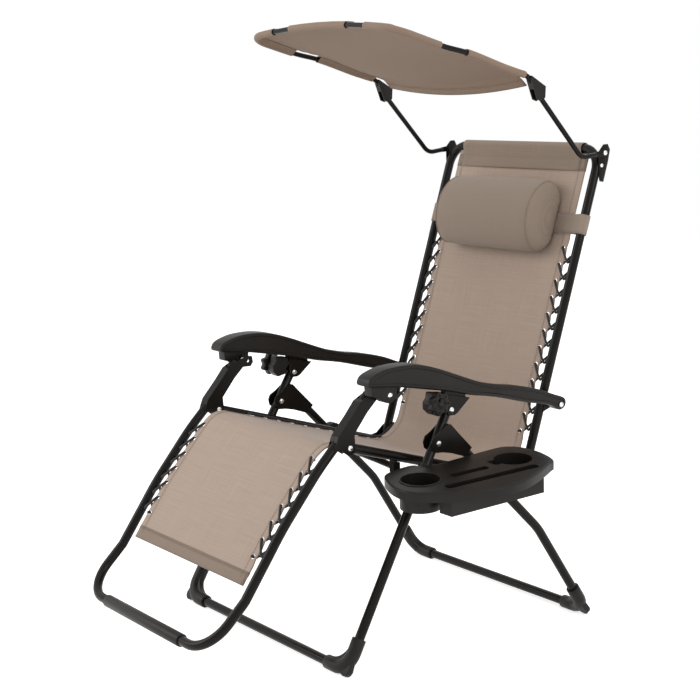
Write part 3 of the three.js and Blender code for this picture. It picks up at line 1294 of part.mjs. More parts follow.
function strapLoop(grow) {
  const places = [];
  const radius = STRAP_WRAP_RADIUS + grow;
  const sheetGap = STRAP_SHEET_GAP + grow;
  for (const side of [1, -1]) {
    places.push(new THREE.Vector2(side * SLING_HALF_WIDTH, -side * sheetGap));
    for (let step = 0; step <= 6; step += 1) {
      const angle = Math.PI * (step / 6 - 0.5);
      places.push(new THREE.Vector2(side * (RAIL_X + radius * Math.cos(angle)), side * radius * Math.sin(angle)));
    }
    places.push(new THREE.Vector2(side * SLING_HALF_WIDTH, side * sheetGap));
  }
  return places;
}

const strapShape = new THREE.Shape(strapLoop(STRAP_THICKNESS));
strapShape.holes.push(new THREE.Path(strapLoop(0).reverse()));
const strap = new THREE.ExtrudeGeometry(strapShape, { depth: 2 * STRAP_HALF_WIDTH, bevelEnabled: false });
strap.translate(0, 0, -STRAP_HALF_WIDTH);
strap.applyMatrix4(new THREE.Matrix4().makeBasis(X_AXIS, backForward.clone().negate(), backUp));
strap.translate(0, backY(strapZ), strapZ);
addPiece('pillow_strap', strap, fabric(), pillowGroup);

// Side tray: a moulded top with a skirt, cup wells, a box below its pockets and a hook round the post
function tray() {
  const place = new THREE.Matrix4().makeTranslation(TRAY_CENTRE_X, TRAY_CENTRE_Y, TRAY_CENTRE_Z)
    .multiply(new THREE.Matrix4().makeRotationX(TRAY_PITCH))
    .multiply(new THREE.Matrix4().makeRotationY(TRAY_ROLL));
  const slab = (outline, lowZ, highZ) => {
    const geometry = new THREE.ExtrudeGeometry(new THREE.Shape(outline), { depth: highZ - lowZ, bevelEnabled: false });
    return geometry.translate(0, 0, lowZ).applyMatrix4(place);
  };
  const outline = (share) => trayOutlineShares.map(([x, y]) => (
    new THREE.Vector2(x * TRAY_WIDTH * share, y * TRAY_LENGTH * share)
  ));
  const ring = (x, y, radius) => {
    const circle = new THREE.Path().absarc(x - TRAY_CENTRE_X, y - TRAY_CENTRE_Y, radius, 0, 2 * Math.PI);
    return circle.getPoints(CUP_SIDES / 2).slice(0, -1);
  };
  const bar = (x, y, width, length, turn) => {
    const middle = new THREE.Vector2(x - TRAY_CENTRE_X, y - TRAY_CENTRE_Y);
    return [[-1, -1], [1, -1], [1, 1], [-1, 1]].map(([a, b]) => (
      new THREE.Vector2((a * width) / 2, (b * length) / 2).rotateAround(new THREE.Vector2(), -turn).add(middle)
    ));
  };
  const box = trayBoxOutlineShares.map(([x, y]) => (
    new THREE.Vector2(BOX_X - TRAY_CENTRE_X + x * BOX_WIDTH, BOX_Y - TRAY_CENTRE_Y + y * BOX_LENGTH)
  ));
  const shell = cut(
    solid(slab(outline(1), -TRAY_SKIRT, 0)),
    slab(outline(TRAY_INSET_SHARE), -TRAY_SKIRT - OVERRUN, -TRAY_WALL),
  );
  const walls = shell
    .add(solid(slab(ring(FRONT_CUP_X, FRONT_CUP_Y, CUP_RADIUS + CUP_WALL), -CUP_DEPTH, -TRAY_WALL / 2)))
    .add(solid(slab(ring(REAR_CUP_X, REAR_CUP_Y, CUP_RADIUS + CUP_WALL), -BOX_DEPTH, -TRAY_WALL / 2)))
    .add(solid(slab(box, -BOX_DEPTH, -TRAY_WALL / 2)));
  const rearNotch = bar(
    REAR_NOTCH_X,
    REAR_CUP_Y - REAR_NOTCH_REACH / 2,
    REAR_NOTCH_WIDTH,
    REAR_NOTCH_REACH,
    0,
  );
  const postAxis = frontCorner.clone().sub(postTop).normalize();
  const postAtTray = alongHeight(frontCorner, postTop, TRAY_CENTRE_Z - TRAY_SKIRT / 2);
  const hookRoute = [-1, 1].map((side) => postAtTray.clone().addScaledVector(postAxis, (side * TRAY_SKIRT) / 2));
  const hook = tube(hookRoute, HOOK_RADIUS, TUBE_SIDES);
  const mouth = new THREE.BoxGeometry(2 * HOOK_RADIUS, 2 * HOOK_MOUTH_HALF, 4 * TRAY_SKIRT);
  mouth.translate(postAtTray.x - HOOK_RADIUS, postAtTray.y, postAtTray.z);
  return surface(cut(
    walls.add(solid(hook)),
    slab(ring(FRONT_CUP_X, FRONT_CUP_Y, CUP_RADIUS), -CUP_DEPTH + CUP_WALL, OVERRUN),
    slab(ring(REAR_CUP_X, REAR_CUP_Y, CUP_RADIUS), -BOX_DEPTH + CUP_WALL, OVERRUN),
    slab(rearNotch, -BOX_DEPTH + CUP_WALL, OVERRUN),
    slab(bar(SLOT_X, SLOT_Y, SLOT_WIDTH, SLOT_LENGTH, POCKET_TURN), -BOX_DEPTH + CUP_WALL, OVERRUN),
    slab(bar(GROOVE_X, GROOVE_Y, GROOVE_WIDTH, GROOVE_LENGTH, POCKET_TURN), -TRAY_SKIRT, OVERRUN),
    postSpace,
    mouth,
  ));
}

addPiece('side_tray', tray(), moulded(), frontLegs);

chair.add(frontLegs, rearLegs, seat, legRest, back, armrests, locks, canopyArms, canopyHead, pillowGroup);

// The whole chair stands centred over the origin
const bounds = new THREE.Box3().setFromObject(chair);
const middle = bounds.getCenter(point(0, 0, 0));
chair.position.set(-middle.x, -middle.y, -bounds.min.z);

export default chair;
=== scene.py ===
# %% [markdown]
# A folding lounge chair: bent steel tube, a laced cloth, a canopy, a pillow and a side tray.
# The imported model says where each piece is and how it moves. This script dresses it: smooth tubes,
# moulded plastic with soft edges, woven cloth with hems and rings, and a plain studio around it.

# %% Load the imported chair
import itertools
import math

import bmesh
import bpy
from mathutils import Matrix, Vector
from mathutils.bvhtree import BVHTree


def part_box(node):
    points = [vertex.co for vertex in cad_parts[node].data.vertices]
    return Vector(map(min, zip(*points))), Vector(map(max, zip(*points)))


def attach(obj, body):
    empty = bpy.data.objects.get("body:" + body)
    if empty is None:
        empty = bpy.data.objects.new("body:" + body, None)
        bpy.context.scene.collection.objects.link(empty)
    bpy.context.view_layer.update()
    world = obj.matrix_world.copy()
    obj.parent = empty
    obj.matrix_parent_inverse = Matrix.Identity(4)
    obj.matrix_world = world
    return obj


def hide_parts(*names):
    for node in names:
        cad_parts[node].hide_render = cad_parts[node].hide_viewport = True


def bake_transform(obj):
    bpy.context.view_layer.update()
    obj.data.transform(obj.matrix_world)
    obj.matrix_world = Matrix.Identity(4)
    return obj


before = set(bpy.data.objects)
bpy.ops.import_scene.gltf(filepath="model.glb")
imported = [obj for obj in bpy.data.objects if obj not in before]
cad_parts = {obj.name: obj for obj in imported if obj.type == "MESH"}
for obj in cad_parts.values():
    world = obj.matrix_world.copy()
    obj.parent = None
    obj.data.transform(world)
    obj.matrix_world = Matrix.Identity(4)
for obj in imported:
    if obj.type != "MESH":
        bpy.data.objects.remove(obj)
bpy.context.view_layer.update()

# %% [markdown]
# All sizes below are millimetres measured from the chair's own middle plane and floor, as a drawing
# would give them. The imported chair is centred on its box, so one rivet tells how far it was shifted.

# %% The chair's own coordinates
MM = 0.001
HIP_Y, HIP_Z = 165, 358.5
KNEE_Y, KNEE_Z = -329, 499


def middle_of(node):
    low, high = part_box(node)
    return (low + high) / 2


hip_rivet = middle_of("rail_rear_rivet_left")
ORIGIN = Vector((middle_of("front_leg_frame").x, hip_rivet.y - HIP_Y * MM, 0))
print("origin of the drawing:", tuple(round(v, 4) for v in ORIGIN))


def at(x, y, z):
    return ORIGIN + Vector((x, y, z)) * MM


# %% [markdown]
# The photograph was taken with a long lens from the sitter's left, a little above the armrests.
# The camera here stands where that view says it stood, so the two pictures can be laid side by side.

# %% Camera
PHOTO_SIZE = 700
FOCAL_PIXELS = 1554
AZIMUTH, ELEVATION, ROLL = math.radians(54.0), math.radians(8.85), math.radians(-0.08)
CAMERA_PLACE = (2974, -2281, 1233)

back_axis = Vector((
    math.sin(AZIMUTH) * math.cos(ELEVATION), -math.cos(AZIMUTH) * math.cos(ELEVATION), math.sin(ELEVATION)))
right_axis = Vector((math.cos(AZIMUTH), math.sin(AZIMUTH), 0))
up_axis = back_axis.cross(right_axis)
rolled_right = right_axis * math.cos(ROLL) + up_axis * math.sin(ROLL)
rolled_up = up_axis * math.cos(ROLL) - right_axis * math.sin(ROLL)
camera_data = bpy.data.cameras.new("camera")
camera_data.sensor_width = 36
camera_data.lens = FOCAL_PIXELS / PHOTO_SIZE * camera_data.sensor_width
camera_data.clip_end = 100
camera = bpy.data.objects.new("camera", camera_data)
camera.matrix_world = Matrix.Translation(at(*CAMERA_PLACE)) @ Matrix(
    (rolled_right, rolled_up, back_axis)).transposed().to_4x4()
bpy.context.scene.collection.objects.link(camera)
bpy.context.scene.camera = camera
print("lens:", round(camera_data.lens, 2), "mm")

# %% [markdown]
# The studio is a pale floor under a pale sky, lit by three big soft lamps. Both show white to the
# camera and in reflections, while the chair still gets only the lamps' plain light.

# %% Studio
FLOOR_HALF = 9.0


def seen_directly(nodes, links):
    """One for rays of the camera, of reflections and through clear things, otherwise nought."""
    path = nodes.new("ShaderNodeLightPath")
    source = path.outputs["Is Camera Ray"]
    for kind in ("Is Glossy Ray", "Is Transmission Ray"):
        larger = nodes.new("ShaderNodeMath")
        larger.operation = "MAXIMUM"
        links.new(source, larger.inputs[0])
        links.new(path.outputs[kind], larger.inputs[1])
        source = larger.outputs[0]
    return source


def studio_material():
    look = bpy.data.materials.new("studio_white")
    look.use_nodes = True
    nodes, links = look.node_tree.nodes, look.node_tree.links
    nodes.clear()
    out = nodes.new("ShaderNodeOutputMaterial")
    mix = nodes.new("ShaderNodeMixShader")
    paper = nodes.new("ShaderNodeBsdfDiffuse")
    paper.inputs["Color"].default_value = (0.86, 0.86, 0.86, 1)
    glow = nodes.new("ShaderNodeEmission")
    glow.inputs["Color"].default_value = (1, 1, 1, 1)
    glow.inputs["Strength"].default_value = 0.72
    add = nodes.new("ShaderNodeAddShader")
    links.new(seen_directly(nodes, links), mix.inputs[0])
    links.new(paper.outputs[0], mix.inputs[1])
    links.new(paper.outputs[0], add.inputs[0])
    links.new(glow.outputs[0], add.inputs[1])
    links.new(add.outputs[0], mix.inputs[2])
    links.new(mix.outputs[0], out.inputs[0])
    return look


def new_object(name, bm, look=None):
    mesh = bpy.data.meshes.new(name)
    bm.to_mesh(mesh)
    bm.free()
    piece = bpy.data.objects.new(name, mesh)
    bpy.context.scene.collection.objects.link(piece)
    if look:
        mesh.materials.append(look)
    return piece


bm = bmesh.new()
bmesh.ops.create_grid(bm, x_segments=1, y_segments=1, size=FLOOR_HALF)
floor = new_object("studio_floor", bm, studio_material())


def soft_lamp(name, place, aim, size, watts):
    data = bpy.data.lights.new(name, "AREA")
    data.shape = "SQUARE"
    data.size = size
    data.energy = watts
    lamp = bpy.data.objects.new(name, data)
    lamp.location = place
    lamp.rotation_euler = (Vector(aim) - Vector(place)).to_track_quat("-Z", "Y").to_euler()
    bpy.context.scene.collection.objects.link(lamp)
    return lamp


soft_lamp("lamp_over", (0.3, -0.6, 4.2), (0, 0, 0.6), 3.2, 16)
soft_lamp("lamp_left", (-2.6, -3.4, 2.4), (0, 0, 0.7), 2.4, 66)
soft_lamp("lamp_right", (4.2, 0.6, 2.3), (0, 0, 0.7), 2.0, 46)

world = bpy.data.worlds.new("studio_air")
bpy.context.scene.world = world
world.use_nodes = True
world_nodes, world_links = world.node_tree.nodes, world.node_tree.links
air = world_nodes["Background"]
air_level = world_nodes.new("ShaderNodeMapRange")
air_level.inputs["To Min"].default_value = 0.7
air_level.inputs["To Max"].default_value = 1.0
air.inputs["Color"].default_value = (1, 1, 1, 1)
world_links.new(seen_directly(world_nodes, world_links), air_level.inputs["Value"])
world_links.new(air_level.outputs["Result"], air.inputs["Strength"])
bpy.context.scene.view_settings.view_transform = "Standard"

# %% [markdown]
# Finishes come next. Each one is a small group of nodes on the shader: a colour that drifts a little,
# a grain that breaks up the shine, and a bump of the right size. Powder coat is almost black, with a
# fine orange peel, and the moulded plastic is duller with a leather-like grain.

# %% Hard finishes


def shader(name, colour, roughness, metallic=0.0):
    look = bpy.data.materials.new(name)
    look.use_nodes = True
    nodes = look.node_tree.nodes
    shade = nodes["Principled BSDF"]
    shade.inputs["Base Color"].default_value = (*colour, 1)
    shade.inputs["Roughness"].default_value = roughness
    shade.inputs["Metallic"].default_value = metallic
    return look, nodes, look.node_tree.links, shade


def noise_node(nodes, links, scale, detail=3.0):
    where = nodes.new("ShaderNodeTexCoord")
    grain = nodes.new("ShaderNodeTexNoise")
    grain.inputs["Scale"].default_value = scale
    grain.inputs["Detail"].default_value = detail
    links.new(where.outputs["Object"], grain.inputs["Vector"])
    return grain


def drift(nodes, links, source, low, high, target):
    ramp = nodes.new("ShaderNodeMapRange")
    ramp.inputs["To Min"].default_value = low
    ramp.inputs["To Max"].default_value = high
    links.new(source, ramp.inputs["Value"])
    links.new(ramp.outputs["Result"], target)


def colour_drift(nodes, links, source, dark, light, target, stops=(0.3, 0.7)):
    ramp = nodes.new("ShaderNodeValToRGB")
    for element, stop, colour in zip(ramp.color_ramp.elements, stops, (dark, light)):
        element.position = stop
        element.color = (*colour, 1)
    links.new(source, ramp.inputs["Fac"])
    links.new(ramp.outputs["Color"], target)


def bump(nodes, links, height, strength, distance, target):
    node = nodes.new("ShaderNodeBump")
    node.inputs["Strength"].default_value = strength
    node.inputs["Distance"].default_value = distance
    links.new(height, node.inputs["Height"])
    links.new(node.outputs["Normal"], target)


BROAD_SCALE = 14


def hard_finish(name, dark, light, rough_low, rough_high, grain_scale, grain_depth, metallic=0.0):
    look, nodes, links, shade = shader(name, light, rough_high, metallic)
    broad = noise_node(nodes, links, BROAD_SCALE)
    fine = noise_node(nodes, links, grain_scale, 4)
    colour_drift(nodes, links, broad.outputs["Fac"], dark, light, shade.inputs["Base Color"])
    drift(nodes, links, fine.outputs["Fac"], rough_low, rough_high, shade.inputs["Roughness"])
    bump(nodes, links, fine.outputs["Fac"], 0.35, grain_depth, shade.inputs["Normal"])
    return look, shade


powder_coat, coat_shade = hard_finish(
    "powder_coat", (0.006, 0.0047, 0.0036), (0.009, 0.0071, 0.0054), 0.2, 0.32, 900, 0.00004)
coat_shade.inputs["Specular IOR Level"].default_value = 0.12
coat_shade.inputs["Coat Weight"].default_value = 0.05
coat_shade.inputs["Coat Roughness"].default_value = 0.12
moulded, moulded_shade = hard_finish(
    "moulded_plastic", (0.008, 0.0064, 0.0052), (0.013, 0.0105, 0.0085), 0.36, 0.5, 1600, 0.00006)
moulded_shade.inputs["Specular IOR Level"].default_value = 0.22
zinc, _ = hard_finish("zinc_plate", (0.62, 0.62, 0.6), (0.8, 0.8, 0.78), 0.16, 0.3, 500, 0.00003, 1.0)
rubber_cord, _ = hard_finish(
    "elastic_cord", (0.008, 0.0065, 0.006), (0.02, 0.017, 0.015), 0.55, 0.8, 2600, 0.0002)
print("hard finishes:", [m.name for m in bpy.data.materials])

# %% [markdown]
# The cloth of the seat is a coarse woven mesh. Its threads follow the cloth, so the pattern reads the
# cloth's own flat measure, stored as a UV map in metres: two sets of waves at right angles make the
# threads, and a slow noise stretched along the warp gives the faint streaks that such cloth shows.

# %% Woven finishes


def wave(nodes, links, source, axis, pitch):
    node = nodes.new("ShaderNodeTexWave")
    node.wave_type = "BANDS"
    node.bands_direction = axis
    node.wave_profile = "SIN"
    node.inputs["Scale"].default_value = math.pi / 10 / pitch
    node.inputs["Distortion"].default_value = 0.0
    node.inputs["Detail"].default_value = 0.0
    links.new(source, node.inputs["Vector"])
    return node


WARP_SCALE, WEFT_SCALE, WOVEN_STOPS = (520, 9, 1), (9, 420, 1), (0.12, 0.78)


def calculated(nodes, links, operation, *terms):
    """A math node on sockets and plain numbers; returns its output."""
    node = nodes.new("ShaderNodeMath")
    node.operation = operation
    for socket, term in zip(node.inputs, terms):
        if isinstance(term, float):
            socket.default_value = term
        else:
            links.new(term, socket)
    return node.outputs[0]


def stretched_noise(nodes, links, source, scale):
    mapping = nodes.new("ShaderNodeMapping")
    mapping.inputs["Scale"].default_value = scale
    links.new(source, mapping.inputs["Vector"])
    noise = nodes.new("ShaderNodeTexNoise")
    noise.inputs["Scale"].default_value = 1.0
    links.new(mapping.outputs["Vector"], noise.inputs["Vector"])
    return noise.outputs["Fac"]


def woven(name, dark, light, thread, streak, depth, roughness=0.85, sheen=0.15):
    look, nodes, links, shade = shader(name, light, roughness)
    where = nodes.new("ShaderNodeUVMap")
    where.uv_map = "cloth"
    flat = where.outputs["UV"]
    across, along = [wave(nodes, links, flat, axis, thread).outputs["Fac"] for axis in "XY"]
    weave = calculated(nodes, links, "MULTIPLY", across, along)
    streaks, slubs = [stretched_noise(nodes, links, flat, scale) for scale in (WARP_SCALE, WEFT_SCALE)]
    both = calculated(nodes, links, "ADD", streaks, slubs)
    share = calculated(nodes, links, "MULTIPLY", both, streak / 2)
    sums = calculated(nodes, links, "MULTIPLY_ADD", weave, 1.0 - streak, share)
    colour_drift(nodes, links, sums, dark, light, shade.inputs["Base Color"], WOVEN_STOPS)
    bump(nodes, links, sums, 0.4, depth, shade.inputs["Normal"])
    shade.inputs["Sheen Weight"].default_value = sheen
    shade.inputs["Sheen Roughness"].default_value = 0.5
    return look


sling_cloth = woven("sling_mesh", (0.315, 0.237, 0.184), (0.5, 0.387, 0.31), 0.0011, 0.72, 0.0003)
hem_cloth = woven("hem_cloth", (0.205, 0.15, 0.112), (0.305, 0.23, 0.176), 0.0009, 0.6, 0.0003)
canopy_cloth_look = woven(
    "canopy_cloth", (0.235, 0.162, 0.115), (0.318, 0.224, 0.161), 0.0007, 0.5, 0.0002, sheen=0.05)
pillow_cloth = woven("pillow_cloth", (0.24, 0.183, 0.14), (0.33, 0.255, 0.2), 0.0008, 0.5, 0.0002)
strap_cloth = woven("strap_cloth", (0.25, 0.19, 0.148), (0.36, 0.28, 0.222), 0.0010, 0.5, 0.0003)
thread, _ = hard_finish(
    "sewing_thread", (0.16, 0.118, 0.088), (0.2, 0.15, 0.112), 0.7, 0.9, 1500, 0.0001)
print("cloths:", [m.name for m in bpy.data.materials if m.name.endswith(("cloth", "mesh"))])

# %% [markdown]
# A bent tube is drawn as its centre line, with an arc at each corner, and then swept: a circle is
# extruded along the line ring by ring. The rings turn with the line, so the tube keeps its round
# section in every bend, and its ends are closed with a small rounded edge.

# %% Lines and swept tubes
ARC_STEP = math.radians(6)
TUBE_RADIUS = 11
TUBE_SIDES = 28
SIDES = (("left", 1), ("right", -1))


def rounded(corners, radii):
    points = [corners[0].copy()]
    for before, corner, after, radius in zip(corners, corners[1:], corners[2:], radii):
        if not radius:
            points.append(corner.copy())
            continue
        back, ahead = (before - corner).normalized(), (after - corner).normalized()
        turn = math.pi - back.angle(ahead)
        centre = corner + (back + ahead).normalized() * (radius / math.cos(turn / 2))
        first = corner + back * (radius * math.tan(turn / 2)) - centre
        last = corner + ahead * (radius * math.tan(turn / 2)) - centre
        steps = max(1, math.ceil(turn / ARC_STEP))
        axis = first.cross(last).normalized()
        for step in range(steps + 1):
            points.append(centre + Matrix.Rotation(turn * step / steps, 3, axis) @ first)
    points.append(corners[-1].copy())
    return points


def spline(knots, per_span):
    """Points on a soft curve through all knots but the first and last."""
    line = []
    for a, b, c, d in zip(knots, knots[1:], knots[2:], knots[3:]):
        for step in range(per_span):
            t = step / per_span
            line.append(0.5 * (2 * b + (c - a) * t + (2 * a - 5 * b + 4 * c - d) * t**2
                               + (3 * b - a - 3 * c + d) * t**3))
    return line


def smooth_line(points, per_span):
    """A curve through the points, with per_span steps between neighbours."""
    knots = [points[0] * 2 - points[1], *points, points[-1] * 2 - points[-2]]
    return [*spline(knots, per_span), points[-1].copy()]


def distances(points):
    """How far along the line each point lies."""
    result = [0.0]
    for before, after in zip(points, points[1:]):
        result.append(result[-1] + (after - before).length)
    return result


def arc_points(radius, first, last, steps):
    """Pairs along the arc of a circle, between two angles in degrees."""
    angles = [math.radians(first + (last - first) * step / steps) for step in range(steps + 1)]
    return [(radius * math.cos(angle), radius * math.sin(angle)) for angle in angles]


def both_sides(left):
    return [*left, *[Vector((-p.x, p.y, p.z)) for p in reversed(left)]]


def tangents(route):
    result = []
    for index, place in enumerate(route):
        before = route[index - 1] if index else place
        after = route[index + 1] if index < len(route) - 1 else place
        result.append((after - before).normalized())
    return result


def sweep(bm, route, radius, sides=TUBE_SIDES, capped=True, cap_bevel=1.2):
    """Extrudes a circle along a route drawn in millimetres."""
    ways = tangents(route)
    turn = ways[0].to_track_quat("Z", "Y").to_matrix()
    made = bmesh.ops.create_circle(
        bm, cap_ends=False, segments=sides, radius=radius * MM,
        matrix=Matrix.Translation(at(*route[0])) @ turn.to_4x4())
    ring = made["verts"]
    edges = list({edge for vert in ring for edge in vert.link_edges})
    first_edges = edges
    for index in range(1, len(route)):
        grown = bmesh.ops.extrude_edge_only(bm, edges=edges)["geom"]
        ring = [item for item in grown if isinstance(item, bmesh.types.BMVert)]
        edges = [item for item in grown if isinstance(item, bmesh.types.BMEdge)
                 and all(vert in ring for vert in item.verts)]
        swing = ways[index - 1].rotation_difference(ways[index]).to_matrix()
        here, there = at(*route[index - 1]), at(*route[index])
        move = Matrix.Translation(there) @ swing.to_4x4() @ Matrix.Translation(-here)
        bmesh.ops.transform(bm, matrix=move, verts=ring)
    if capped:
        caps = [bmesh.ops.contextual_create(bm, geom=group)["faces"][0] for group in (first_edges, edges)]
        if cap_bevel:
            rims = [edge for cap in caps for edge in cap.edges]
            bmesh.ops.bevel(bm, geom=rims, offset=cap_bevel * MM, segments=2, profile=0.5,
                            affect="EDGES", material=-1)


def outward(bm):
    bmesh.ops.remove_doubles(bm, verts=bm.verts, dist=1e-6)
    bmesh.ops.recalc_face_normals(bm, faces=bm.faces)


def mirror_if(bm, sign):
    if sign < 0:
        bmesh.ops.scale(bm, vec=(-1, 1, 1), space=Matrix.Translation(-at(0, 0, 0)), verts=bm.verts)
    outward(bm)


def smooth(piece, angle=35):
    for face in piece.data.polygons:
        face.use_smooth = True
    piece.data.set_sharp_from_angle(angle=math.radians(angle))
    return piece


def dress(piece, body, *nodes, slot=None):
    """The piece rides on its body and stands for the CAD nodes; slot is not used."""
    if body:
        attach(piece, body)
    if nodes:
        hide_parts(*nodes)
    return piece


def finished(name, bm, look, angle, body, *nodes, slot=None):
    return dress(smooth(new_object(name, bm, look), angle), body, *nodes, slot=slot)


def tube_piece(name, routes, radius, look, body, nodes, slot="painted_tube", sides=TUBE_SIDES):
    bm = bmesh.new()
    for route in routes:
        sweep(bm, route, radius, sides)
    outward(bm)
    return finished(name, bm, look, 40, body, *nodes, slot=slot)


# %% [markdown]
# The frame has four bent tubes: the front legs with the posts, the rear legs with their kink, the leg
# rest and the back. The two short rails of the seat are straight. Each is swept along the line that
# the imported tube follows, so it covers the same place with a truly round surface.

# %% Frame tubes
RAIL_X = 275
POST_FOOT, POST_TOP = Vector((336.6, -373.6, 15)), Vector((315.5, -71.1, 575))
REAR_TOP, REAR_KINK, REAR_FOOT = Vector((318, -72, 500)), Vector((326, 195, 243)), Vector((333.4, 350.4, 15))
FOOT_BEND, REAR_KINK_RADIUS = 40, 150
LEG_REST_REACH, LEG_REST_DROP, LEG_REST_CORNER = 363, 396, 78
leg_rest_shares = (
    (-0.157, -0.285), (-0.08, -0.199), (0.055, -0.045), (0.209, 0.104), (0.342, 0.253),
    (0.471, 0.402), (0.584, 0.553), (0.736, 0.758), (1, 1))
BACK_LOW_Z, BACK_TOP_Y, BACK_TOP_Z, BACK_LEAN, BACK_CORNER = 349, 427.6, 1135, 0.3, 55
RAIL_END = 8

front_route = rounded(both_sides([POST_TOP, POST_FOOT]), (FOOT_BEND, FOOT_BEND))
tube_piece("front_legs_tube", [front_route], TUBE_RADIUS, powder_coat, "front_legs", ["front_leg_frame"])

rear_route = rounded(both_sides([REAR_TOP, REAR_KINK, REAR_FOOT]),
                     (REAR_KINK_RADIUS, FOOT_BEND, FOOT_BEND, REAR_KINK_RADIUS))
tube_piece("rear_legs_tube", [rear_route], TUBE_RADIUS, powder_coat, "rear_legs", ["rear_leg_frame"])

leg_side = [Vector((RAIL_X, KNEE_Y - reach * LEG_REST_REACH, KNEE_Z - drop * LEG_REST_DROP))
            for reach, drop in leg_rest_shares]
leg_bend = smooth_line(leg_side[:-1], 4)
leg_route = rounded(both_sides([*leg_bend, leg_side[-1]]),
                    [0] * (len(leg_bend) - 1) + [LEG_REST_CORNER] * 2 + [0] * (len(leg_bend) - 1))
tube_piece("leg_rest_tube", [leg_route], TUBE_RADIUS, powder_coat, "leg_rest", ["leg_rest_frame"])


def back_y(z):
    return BACK_TOP_Y - (BACK_TOP_Z - z) * BACK_LEAN


back_low = Vector((RAIL_X, back_y(BACK_LOW_Z), BACK_LOW_Z))
back_top = Vector((RAIL_X, BACK_TOP_Y, BACK_TOP_Z))
back_up = (back_top - back_low).normalized()
back_front = Vector((0, -back_up.z, back_up.y))
back_route = rounded(both_sides([back_low, back_top]), (BACK_CORNER, BACK_CORNER))

knee, hip = Vector((RAIL_X, KNEE_Y, KNEE_Z)), Vector((RAIL_X, HIP_Y, HIP_Z))
rail_way = (hip - knee).normalized()
for side, sign in SIDES:
    ends = [knee - rail_way * RAIL_END, knee.lerp(hip, 0.5), hip + rail_way * RAIL_END]
    route = [Vector((sign * p.x, p.y, p.z)) for p in ends]
    tube_piece(f"rail_tube_{side}", [route], TUBE_RADIUS, powder_coat, "seat", [f"seat_rail_{side}"])
print("tube lines:", len(front_route), len(rear_route), len(leg_route), len(back_route), "points")

# %% [markdown]
# Flat brackets are cut and folded from sheet steel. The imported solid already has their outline, so a
# copy of it is welded, its flat faces are joined up again, and a narrow bevel rounds every edge, the
# way a pressed and painted edge looks.

# %% Pressed and moulded pieces from their packed outlines


def welded(mesh, distance, flat_angle):
    """A welded copy of a mesh, with its flat faces joined up again."""
    bm = bmesh.new()
    bm.from_mesh(mesh)
    bmesh.ops.remove_doubles(bm, verts=bm.verts, dist=distance)
    bmesh.ops.dissolve_limit(bm, angle_limit=math.radians(flat_angle), verts=bm.verts, edges=bm.edges)
    return bm


def soft_edges(piece, width, segments, angle=30):
    rounding = piece.modifiers.new("edge", "BEVEL")
    rounding.width, rounding.segments = width * MM, segments
    rounding.limit_method, rounding.angle_limit = "ANGLE", math.radians(angle)


def refined(name, node, look, body, bevel=0.6, segments=2, slot="painted_tube"):
    piece = new_object(name, welded(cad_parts[node].data, 2e-6, 1.0), look)
    soft_edges(piece, bevel, segments, 32)
    return dress(smooth(piece, 38), body, node, slot=slot)


for side, sign in SIDES:
    refined(f"hinge_bracket_{side}", f"leg_hinge_bracket_{side}", powder_coat, "rear_legs", 0.7)
    refined(f"knee_channel_{side}", f"leg_rest_gusset_{side}", powder_coat, "leg_rest", 0.7)
    refined(f"hip_channel_{side}", f"back_gusset_{side}", powder_coat, "back", 0.7)
    refined(f"lock_bracket_{side}", f"slide_bracket_{side}", powder_coat, f"lock_{side}_body", 0.7)
    refined(f"canopy_clevis_{side}", f"canopy_fitting_{side}", moulded, "canopy_head", 1.0,
            slot="moulded_plastic")
refined("seat_bow", "cross_bow", powder_coat, "seat", 0.5)

# %% [markdown]
# A rivet head is a low dome. Its half profile is drawn once and spun about its own axis, then the
# head is copied to each end of the shank. The zinc plate is the brightest thing on the chair.

# %% Rivets
RIVET_RADIUS, HEAD_RADIUS, HEAD_HEIGHT, FACE_GAP = 3.2, 6.5, 2.6, 0.3
rivet_profile = ((0, 1.0), (0.35, 0.97), (0.65, 0.83), (0.86, 0.58), (0.96, 0.28), (1.0, 0.0), (0.9, -0.06))


def spun(bm, profile, centre, axis, steps=32):
    """Spins a half profile of (radius, height) pairs, in metres, about an axis through centre."""
    turn = Vector(axis).to_track_quat("Z", "Y").to_matrix().to_4x4()
    verts = [bm.verts.new((r, 0, h)) for r, h in profile]
    edges = [bm.edges.new(pair) for pair in zip(verts, verts[1:])]
    bmesh.ops.spin(bm, geom=verts + edges, cent=(0, 0, 0), axis=(0, 0, 1),
                   angle=math.tau, steps=steps, use_merge=True)
    group = set(verts)
    stack = list(verts)
    while stack:
        for edge in stack.pop().link_edges:
            for vert in edge.verts:
                if vert not in group:
                    group.add(vert)
                    stack.append(vert)
    bmesh.ops.remove_doubles(bm, verts=list(group), dist=1e-7)
    group = [vert for vert in group if vert.is_valid]
    bmesh.ops.transform(bm, matrix=Matrix.Translation(centre) @ turn, verts=group)


def rivet_piece(node, body):
    low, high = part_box(node)
    middle = (low + high) / 2
    bm = bmesh.new()
    head = (HEAD_HEIGHT + FACE_GAP) * MM
    half = (high.x - low.x) / 2
    shank = half - head * 0.5
    profile = [(0.0, half)]
    for radius, height in rivet_profile[1:]:
        profile.append((radius * HEAD_RADIUS * MM, half - head + (FACE_GAP + height * HEAD_HEIGHT) * MM))
    profile += [(RIVET_RADIUS * MM, shank), (RIVET_RADIUS * MM, 0)]
    profile += [(r, -h) for r, h in reversed(profile[:-1])]
    spun(bm, profile, middle, (1, 0, 0), 24)
    outward(bm)
    return finished(node + "_head", bm, zinc, 50, body, node, slot="zinc_rivet")


